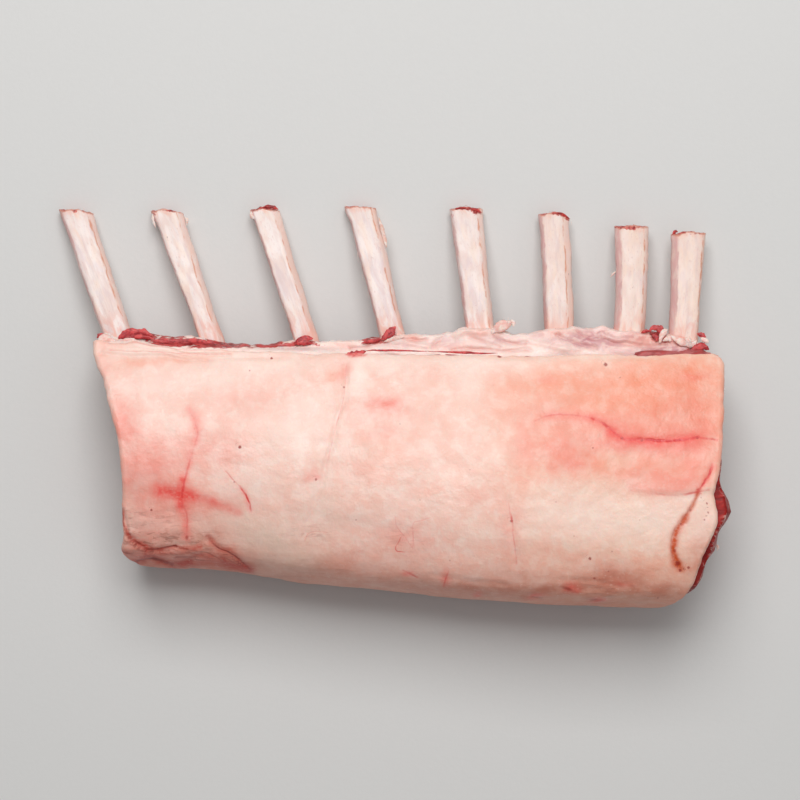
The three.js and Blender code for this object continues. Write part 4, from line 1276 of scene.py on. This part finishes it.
def bone_look():
    """Scraped moist bone: pale face, warmer sides partly painted darker as shade, purple-grey streaks,
    red-brown tip and marrow.
    """
    look = Look("scraped_bone")
    along = look.mask("grain", "Vector")
    streak = look.grain((1.6, 16, 3), 3.0, 1, along, 0.3)
    film = look.grain((3.6, 9, 3), 4.0, 2, along, 0.8)
    fine = look.grain((0.5, 4, 1), 3.0, 3, along)
    look.colour = look.blend(look.span(film, 0.38, 0.64), BONE_WHITE, BONE_PINK)
    look.coat(BONE_WARM, look.mask("right"), 0.5)
    bruised = look.times(look.span(look.grain((5, 13, 4), 3.0, 8, along, 0.4), 0.48, 0.66), 0.35)
    look.coat(BRUISE, bruised)
    warm = look.times(look.span(look.grain((3, 10, 3), 3.0, 4, along, 0.4), 0.48, 0.66), 0.35)
    look.coat(BONE_CREAM, warm)
    look.coat(SCRAPE, look.span(streak, 0.54, 0.7), 0.25)
    speckled = look.span(look.grain((0.7, 1.6, 0.8), 2.0, 11, along), 0.6, 0.72)
    look.coat(BONE_SPECKLE, speckled, 0.3)
    shake = look.times(look.math("SUBTRACT", look.grain((3, 5, 3), 3.0, 9, along), 0.5), 0.3)
    right = look.plus(look.mask("right_of"), shake)
    left = look.plus(look.mask("left_of"), shake)
    patchy = look.span(film, 0.3, 0.6, 0.4, 1.0)
    # The side facets: warmer and pinker tints, also painted a little darker as shade on facets turned from
    # the light.
    look.coat(RIGHT_FACET_AND_SHADE, look.span(right, -0.05, 0.12), look.times(patchy, 0.8))
    look.coat(LEFT_FACET_AND_SHADE, look.span(left, -0.05, 0.12), patchy)
    broken = look.span(look.grain((2, 6, 2), 3.0, 5, along), 0.44, 0.58)
    for ridge, share, paint in ((right, 0.75, RIGHT_RIDGE), (left, 0.5, LEFT_RIDGE)):
        line = look.times(look.fall(look.math("ABSOLUTE", ridge), 0.0, 0.09), broken)
        look.coat(paint, line, share)
    foot = look.times(look.mask("foot"), look.span(film, 0.36, 0.6))
    look.coat(FOOT, foot, 0.55)
    dots = look.fall(look.cells((4, 7, 4), 6, along), 0.04, 0.07)
    look.coat(DOT, dots, 0.5)
    tip = look.shaken(look.mask("tip"), film, 1.4)
    look.coat(TIP, look.span(tip, 0.75, 1.15), 0.45)
    pulp = look.blend(look.span(look.grain(0.8, 3.0, 7), 0.42, 0.6), DARK_PULP, PULP)
    rim = look.shaken(look.mask("end"), look.grain(1.5, 3.0, 10), 1.6)
    look.coat(RIM, look.fall(rim, 0.1, 0.7), 0.7)
    raw = look.shaken(look.mask("raw"), look.grain(1.1, 3.0, 12), 1.1)
    look.coat(pulp, look.span(raw, 0.36, 0.6))
    inner = look.plus(look.mask("inner"), look.times(fine, 0.3))
    look.coat(pulp, look.span(inner, 0.35, 0.7))
    height = look.total((streak, 0.2), (fine, 0.12), (film, 0.2))
    wet = look.span(film, 0.35, 0.65, 0.3, 0.48)
    return look.finish(wet, look.bump(height, 0.4), soft=0.12, depth=1.5, shine=0.35)


# ---- Shreds, tags and scraps ---------------------------------------------------------------------
STRAND_RING = 10
TAPER = 0.75  # share of a strand's length over which its ends thin out


def strand(line, half, thick, seed):
    """A ragged strip along a line of points in mm: its points and faces."""
    line = smooth_line(line, 6)
    count = len(line)
    way = np.gradient(line, axis=0)
    way /= np.linalg.norm(way, axis=1)[:, None]
    side = np.cross(way, (0, 0, 1.0))
    side /= np.linalg.norm(side, axis=1)[:, None]
    up = np.cross(side, way)
    share = np.linspace(0, 1, count)
    ends = np.clip(np.minimum(share, 1 - share) * 2 / TAPER, 0.02, 1) ** 0.6
    offset = np.stack([share * 40, 0 * share, 0 * share], -1)
    wide = half * ends * (1 + 0.3 * noise(offset, 6, seed) + 0.15 * noise(offset, 2, seed + 4))
    turn = np.linspace(0, 2 * np.pi, STRAND_RING, endpoint=False)
    points = line[:, None] + side[:, None] * (wide[:, None] * np.cos(turn))[..., None]
    points = points + up[:, None] * ((thick * ends)[:, None] * np.sin(turn))[..., None]
    points = points.reshape(-1, 3)
    bumps = np.stack([noise(points, 2.2, seed + n) for n in (1, 2, 3)], -1)
    points = points + bumps * thick * (0.4, 0.4, 0.5)
    index = np.arange(count * STRAND_RING).reshape(count, STRAND_RING)
    faces = tube_faces(index).tolist()
    return points, faces + [index[0][::-1].tolist(), index[-1].tolist()]


def strands(name, look, items, seed):
    """Many strands as one piece."""
    points, faces, count = [], [], 0
    for n, (line, half, thick) in enumerate(items):
        some, theirs = strand(line, half, thick, seed + 5 * n)
        points.append(some)
        faces += [[n + count for n in face] for face in theirs]
        count += len(some)
    make_piece(name, np.concatenate(points), faces, look)


def laid(pixels, lift):
    """Points seen at pixels that lie on the strip of tissue, raised by a lift."""
    points = behind(pixels, 20)
    for _ in range(3):
        height = tissue_top(points[:, 0], points[:, 1]) - 1.2 * smooth(points[:, 1], cap_edge(0), 27)
        points = np.array([behind(pixel, z) for pixel, z in zip(pixels, height + lift)])
    return points


# Red shreds on the tissue: height over it, half width and half thickness in mm, then x and y of each
# point.
RED_SHREDS = [
    (0.3, 1.45, 0.3, 118, 339, 122, 336, 130, 333, 139, 332, 146, 333, 153, 336),
    (0.6, 0.8, 0.35, 126, 339, 134, 336.5, 144, 337, 155, 339.5),
    (0.2, 1.25, 0.28, 150, 341, 163, 342, 178, 342.6, 194, 343),
    (0.4, 1.0, 0.3, 172, 342, 188, 341, 199, 341.6, 212, 344.5, 229, 347),
    (0.6, 0.8, 0.3, 196, 344.5, 208, 346, 222, 347.4),
    (0.5, 1.2, 0.45, 294, 343.4, 300, 341, 307, 338.4, 313, 338.6),
    (0.6, 0.9, 0.35, 296, 344, 304, 342.6, 312, 343), (0.4, 0.7, 0.3, 361, 343, 372, 341, 382, 338.8),
    (0.8, 1.5, 0.4, 382, 340, 386, 336, 391, 331, 395.6, 326.4),
    (1.0, 0.8, 0.3, 387, 338, 391, 335, 395, 331),
    (0.7, 1.1, 0.5, 649, 332, 653, 328, 658, 328, 661.5, 332, 661, 339),
    (0.7, 0.9, 0.4, 652, 335, 656, 337.5, 656, 341.5), (0.6, 0.7, 0.4, 97, 338, 99.5, 335, 103, 333),
    (0.7, 1.4, 0.5, 690, 351.4, 697, 348, 703, 346.4, 709, 349.5),
    (0.8, 0.9, 0.4, 697, 334, 702, 335.4, 706, 338.5), (0.5, 0.6, 0.3, 641, 333, 646, 331, 651, 331.5),
]
# The same along the cap's edge, with each one's height over the floor instead.
CRACK_SHREDS = [
    (27.4, 1.1, 0.4, 347, 353, 352, 354, 359, 353.2, 366, 351.2),
    (26.8, 0.36, 0.3, 364, 350.8, 380, 350.2, 400, 350.6, 430, 351.2),
    (27.0, 0.36, 0.3, 426, 351.2, 450, 352, 470, 352.8, 498, 353.4),
]
# Pale membrane flaps on the tissue, given as the red shreds are.
PALE_SHREDS = [
    (0.7, 0.9, 0.35, 119, 342, 127, 340, 134, 341, 142, 342.6),
    (0.5, 0.6, 0.3, 140, 344.6, 160, 345.2, 180, 346.2, 200, 347.6),
    (1.2, 1.6, 0.6, 100, 345, 102.5, 340, 107, 338.5, 112, 341.6, 118, 344.6),
    (0.8, 1.0, 0.45, 104, 333, 108, 336, 113, 338.6, 119, 340),
    (0.6, 1.7, 0.55, 491, 333, 497, 328.6, 505, 324.6, 512.6, 322), (1.4, 0.5, 0.3, 507.4, 323, 508.6, 317),
    (1.2, 0.8, 0.35, 511, 319.6, 513.4, 323, 513.8, 327),
    (1.0, 1.1, 0.5, 659.6, 343, 661.4, 337, 664.4, 331.6, 667.4, 329.4),
    (0.8, 0.9, 0.4, 662.5, 341, 667, 339, 671, 341),
    (0.8, 1.2, 0.45, 671, 336, 677, 340, 686, 344, 693, 344.4, 697, 340),
    (0.9, 1.3, 0.4, 684, 337, 688, 342, 691, 347), (0.7, 1.0, 0.4, 701, 337, 705, 340, 708.8, 343),
    (0.9, 0.5, 0.3, 706, 335, 708.6, 341), (0.5, 0.9, 0.35, 384, 342, 396, 338, 404, 337),
]
# Scraps elsewhere, with their heights over the floor.
LOOSE_SCRAPS = [
    (30.0, 0.45, 0.25, 716.4, 544, 718, 547, 716.8, 551),
]
# Tags and splinters of membrane left on the bones, with their heights over the floor.
BONE_TAGS = [
    (6.0, 0.5, 0.35, 62, 212, 63, 208.5), (6.2, 0.5, 0.3, 84, 212, 84.6, 207.4),
    (6.5, 0.7, 0.3, 88, 211, 94.6, 214), (13.5, 0.4, 0.3, 113, 281, 116, 280.4),
    (7.0, 0.5, 0.35, 152.6, 214, 153.5, 221, 156, 228), (7.0, 0.45, 0.3, 185, 217, 187, 220, 187, 226),
    (6.8, 0.6, 0.3, 251, 211, 252, 216, 255, 219), (6.2, 0.5, 0.3, 345, 207, 345.6, 203.6),
    (6.4, 0.5, 0.3, 363, 206, 364.4, 203), (9.5, 0.7, 0.3, 378.5, 217, 382, 228, 385, 240, 386.5, 248),
    (12.6, 0.5, 0.3, 357.5, 252, 358, 262), (14.5, 0.5, 0.3, 362, 274, 363, 280),
    (16, 0.5, 0.3, 367, 290, 369, 299), (6.5, 0.6, 0.4, 451, 212, 449.6, 216),
    (8.5, 0.5, 0.3, 453, 226, 452.4, 231), (10.0, 0.5, 0.3, 455, 238, 454.6, 243),
    (12.0, 0.5, 0.3, 457, 253, 456, 257), (6.5, 0.5, 0.4, 545, 216, 546.6, 210.4),
    (6.5, 0.7, 0.4, 542, 218, 540, 224), (6.5, 0.5, 0.3, 571, 226, 572, 221),
    (14.2, 0.35, 0.25, 610.4, 277.4, 613, 274, 616, 271.4), (7.5, 0.7, 0.4, 645, 230, 648, 233),
    (12.5, 0.5, 0.3, 647, 259, 649.4, 262), (12.3, 0.5, 0.3, 570, 256, 571.6, 260),
    (7.0, 0.5, 0.3, 675, 232, 674, 229.6), (7.5, 0.5, 0.3, 703, 236, 705, 239),
    (12.0, 0.4, 0.3, 668, 258, 667, 261),
]
# Bits of marrow and blood on the cut ends, with their heights over the floor.
MARROW_BITS = [
    (6.1, 0.7, 0.3, 260, 209.4, 266, 207, 273, 207, 278.5, 209.4),
    (6.3, 0.4, 0.3, 455, 209.6, 460, 208, 466, 207.4), (6.5, 0.5, 0.3, 463, 206.8, 467, 205),
    (6.3, 0.6, 0.35, 468, 208.4, 476, 210, 481.6, 213), (6.3, 0.4, 0.3, 481, 210, 482.4, 212.6),
    (6.6, 0.5, 0.3, 556, 212.6, 563, 214.4, 570, 219), (6.4, 0.3, 0.25, 549, 212, 553, 211),
    (7.2, 0.4, 0.3, 617, 228.6, 628, 227.6, 640, 228), (7.0, 0.5, 0.3, 641, 228, 645.6, 231),
    (7.2, 0.5, 0.3, 672.4, 235.4, 675.4, 231.6, 678, 232), (7.2, 0.3, 0.25, 690, 231.6, 698, 233),
    (6.3, 0.3, 0.25, 66, 211, 71, 209.6),
]


def scraps():
    """All the shreds left on the meat's edge and on the bones."""
    def placed(marks, place=behind):
        return [(place(pixels, z), half, thick) for z, half, thick, pixels in split_marks(marks, 3)]

    red = placed(RED_SHREDS, laid) + placed(CRACK_SHREDS)
    pale = placed(PALE_SHREDS, laid) + placed(LOOSE_SCRAPS)
    for name, items, slot, light, dark, wet, seed in (
        ("meat_shreds", red, "meat", tone(216, 88, 88), tone(164, 48, 54), 0.3, 200),
        ("membrane_scraps", pale, "tissue", tone(250, 227, 218), tone(238, 188, 177), 0.3, 400),
        ("bone_tags", placed(BONE_TAGS), "bone", tone(247, 226, 218), tone(236, 190, 174), 0.35, 600),
        ("marrow_bits", placed(MARROW_BITS), "meat", tone(206, 72, 66), tone(146, 38, 40), 0.3, 800),
    ):
        strands(name, shred_look(name + "_look", light, dark, wet), items, seed)


def shred_look(name, light, dark, wet):
    """A moist shred, with fibres along it."""
    look = Look(name)
    lumps = look.grain(1.8, 3.0, 1, twist=0.5)
    fibres = look.grain((2.2, 0.6, 0.6), 3.0, 2, twist=0.8)
    look.colour = look.blend(look.span(lumps, 0.36, 0.62), dark, light)
    look.coat(tone(250, 206, 196), look.span(fibres, 0.54, 0.72), 0.2)
    roughness = look.span(lumps, 0.3, 0.7, wet, wet + 0.2)
    height = look.total((lumps, 0.3), (fibres, 0.3))
    return look.finish(roughness, look.bump(height, 0.3), soft=0.35, depth=1.2, shine=0.25)


# ---- Stage ---------------------------------------------------------------------------------------
# In metres. Each lamp: its place, its size and its power in watts.
FLOOR_HALF, FLOOR_TOP = 3.0, -0.0002
KEY_LAMP = ((-0.04, 0.64, 1.06), 0.8, 11.7)
FILL_LAMP = ((0.5, -0.2, 1.1), 1.2, 2)
STUDIO_LIGHT = 0.2


def floor():
    """A wide pale sheet of paper, with a slight tooth."""
    look = Look("pale_paper")
    tooth = look.grain(1.5, 4.0, 1)
    look.colour = look.blend(look.times(tooth, 0.15), tone(222, 221, 219), tone(212, 211, 209))
    paper = look.finish(look.span(tooth, 0.2, 0.8, 0.7, 0.8), look.bump(tooth, 0.05))
    mesh = bpy.data.meshes.new("paper_floor")
    signs = ((-1, -1), (1, -1), (1, 1), (-1, 1))
    mesh.from_pydata([(x * FLOOR_HALF, y * FLOOR_HALF, FLOOR_TOP) for x, y in signs], [], [(0, 1, 2, 3)])
    mesh.materials.append(paper)
    sheet = bpy.data.objects.new("paper_floor", mesh)
    bpy.context.scene.collection.objects.link(sheet)


def lamp(name, place, size, power):
    """A soft square lamp, turned to the meat."""
    light = bpy.data.lights.new(name, "AREA")
    light.size = size
    light.energy = power
    holder = bpy.data.objects.new(name, light)
    holder.location = place
    direction = -np.array(place)
    holder.rotation_mode = "QUATERNION"
    holder.rotation_quaternion = Vector(direction.tolist()).to_track_quat("-Z", "Y")
    bpy.context.scene.collection.objects.link(holder)


def camera_and_lights():
    camera = bpy.data.cameras.new("camera")
    camera.sensor_width = SENSOR
    camera.lens = SENSOR * (CAMERA_HEIGHT - LEVEL) / (PICTURE * PIXEL)
    camera.clip_start, camera.clip_end = 0.01, 10
    holder = bpy.data.objects.new("camera", camera)
    holder.location = (CAMERA_X * MM, CAMERA_Y * MM, CAMERA_HEIGHT * MM)
    bpy.context.scene.collection.objects.link(holder)
    bpy.context.scene.camera = holder
    lamp("key", *KEY_LAMP)
    lamp("fill", *FILL_LAMP)
    world = bpy.data.worlds.new("studio")
    world.use_nodes = True
    background = world.node_tree.nodes["Background"]
    background.inputs["Color"].default_value = (1, 1, 1, 1)
    background.inputs["Strength"].default_value = STUDIO_LIGHT
    bpy.context.scene.world = world
    bpy.context.scene.view_settings.view_transform = "Standard"


camera_and_lights()
floor()
BONE_LOOK = bone_look()
fat_cap()
loin_meat()
flank_tissue()
for order, rib in enumerate(RIBS, 1):
    rib_bone(order, rib)
scraps()
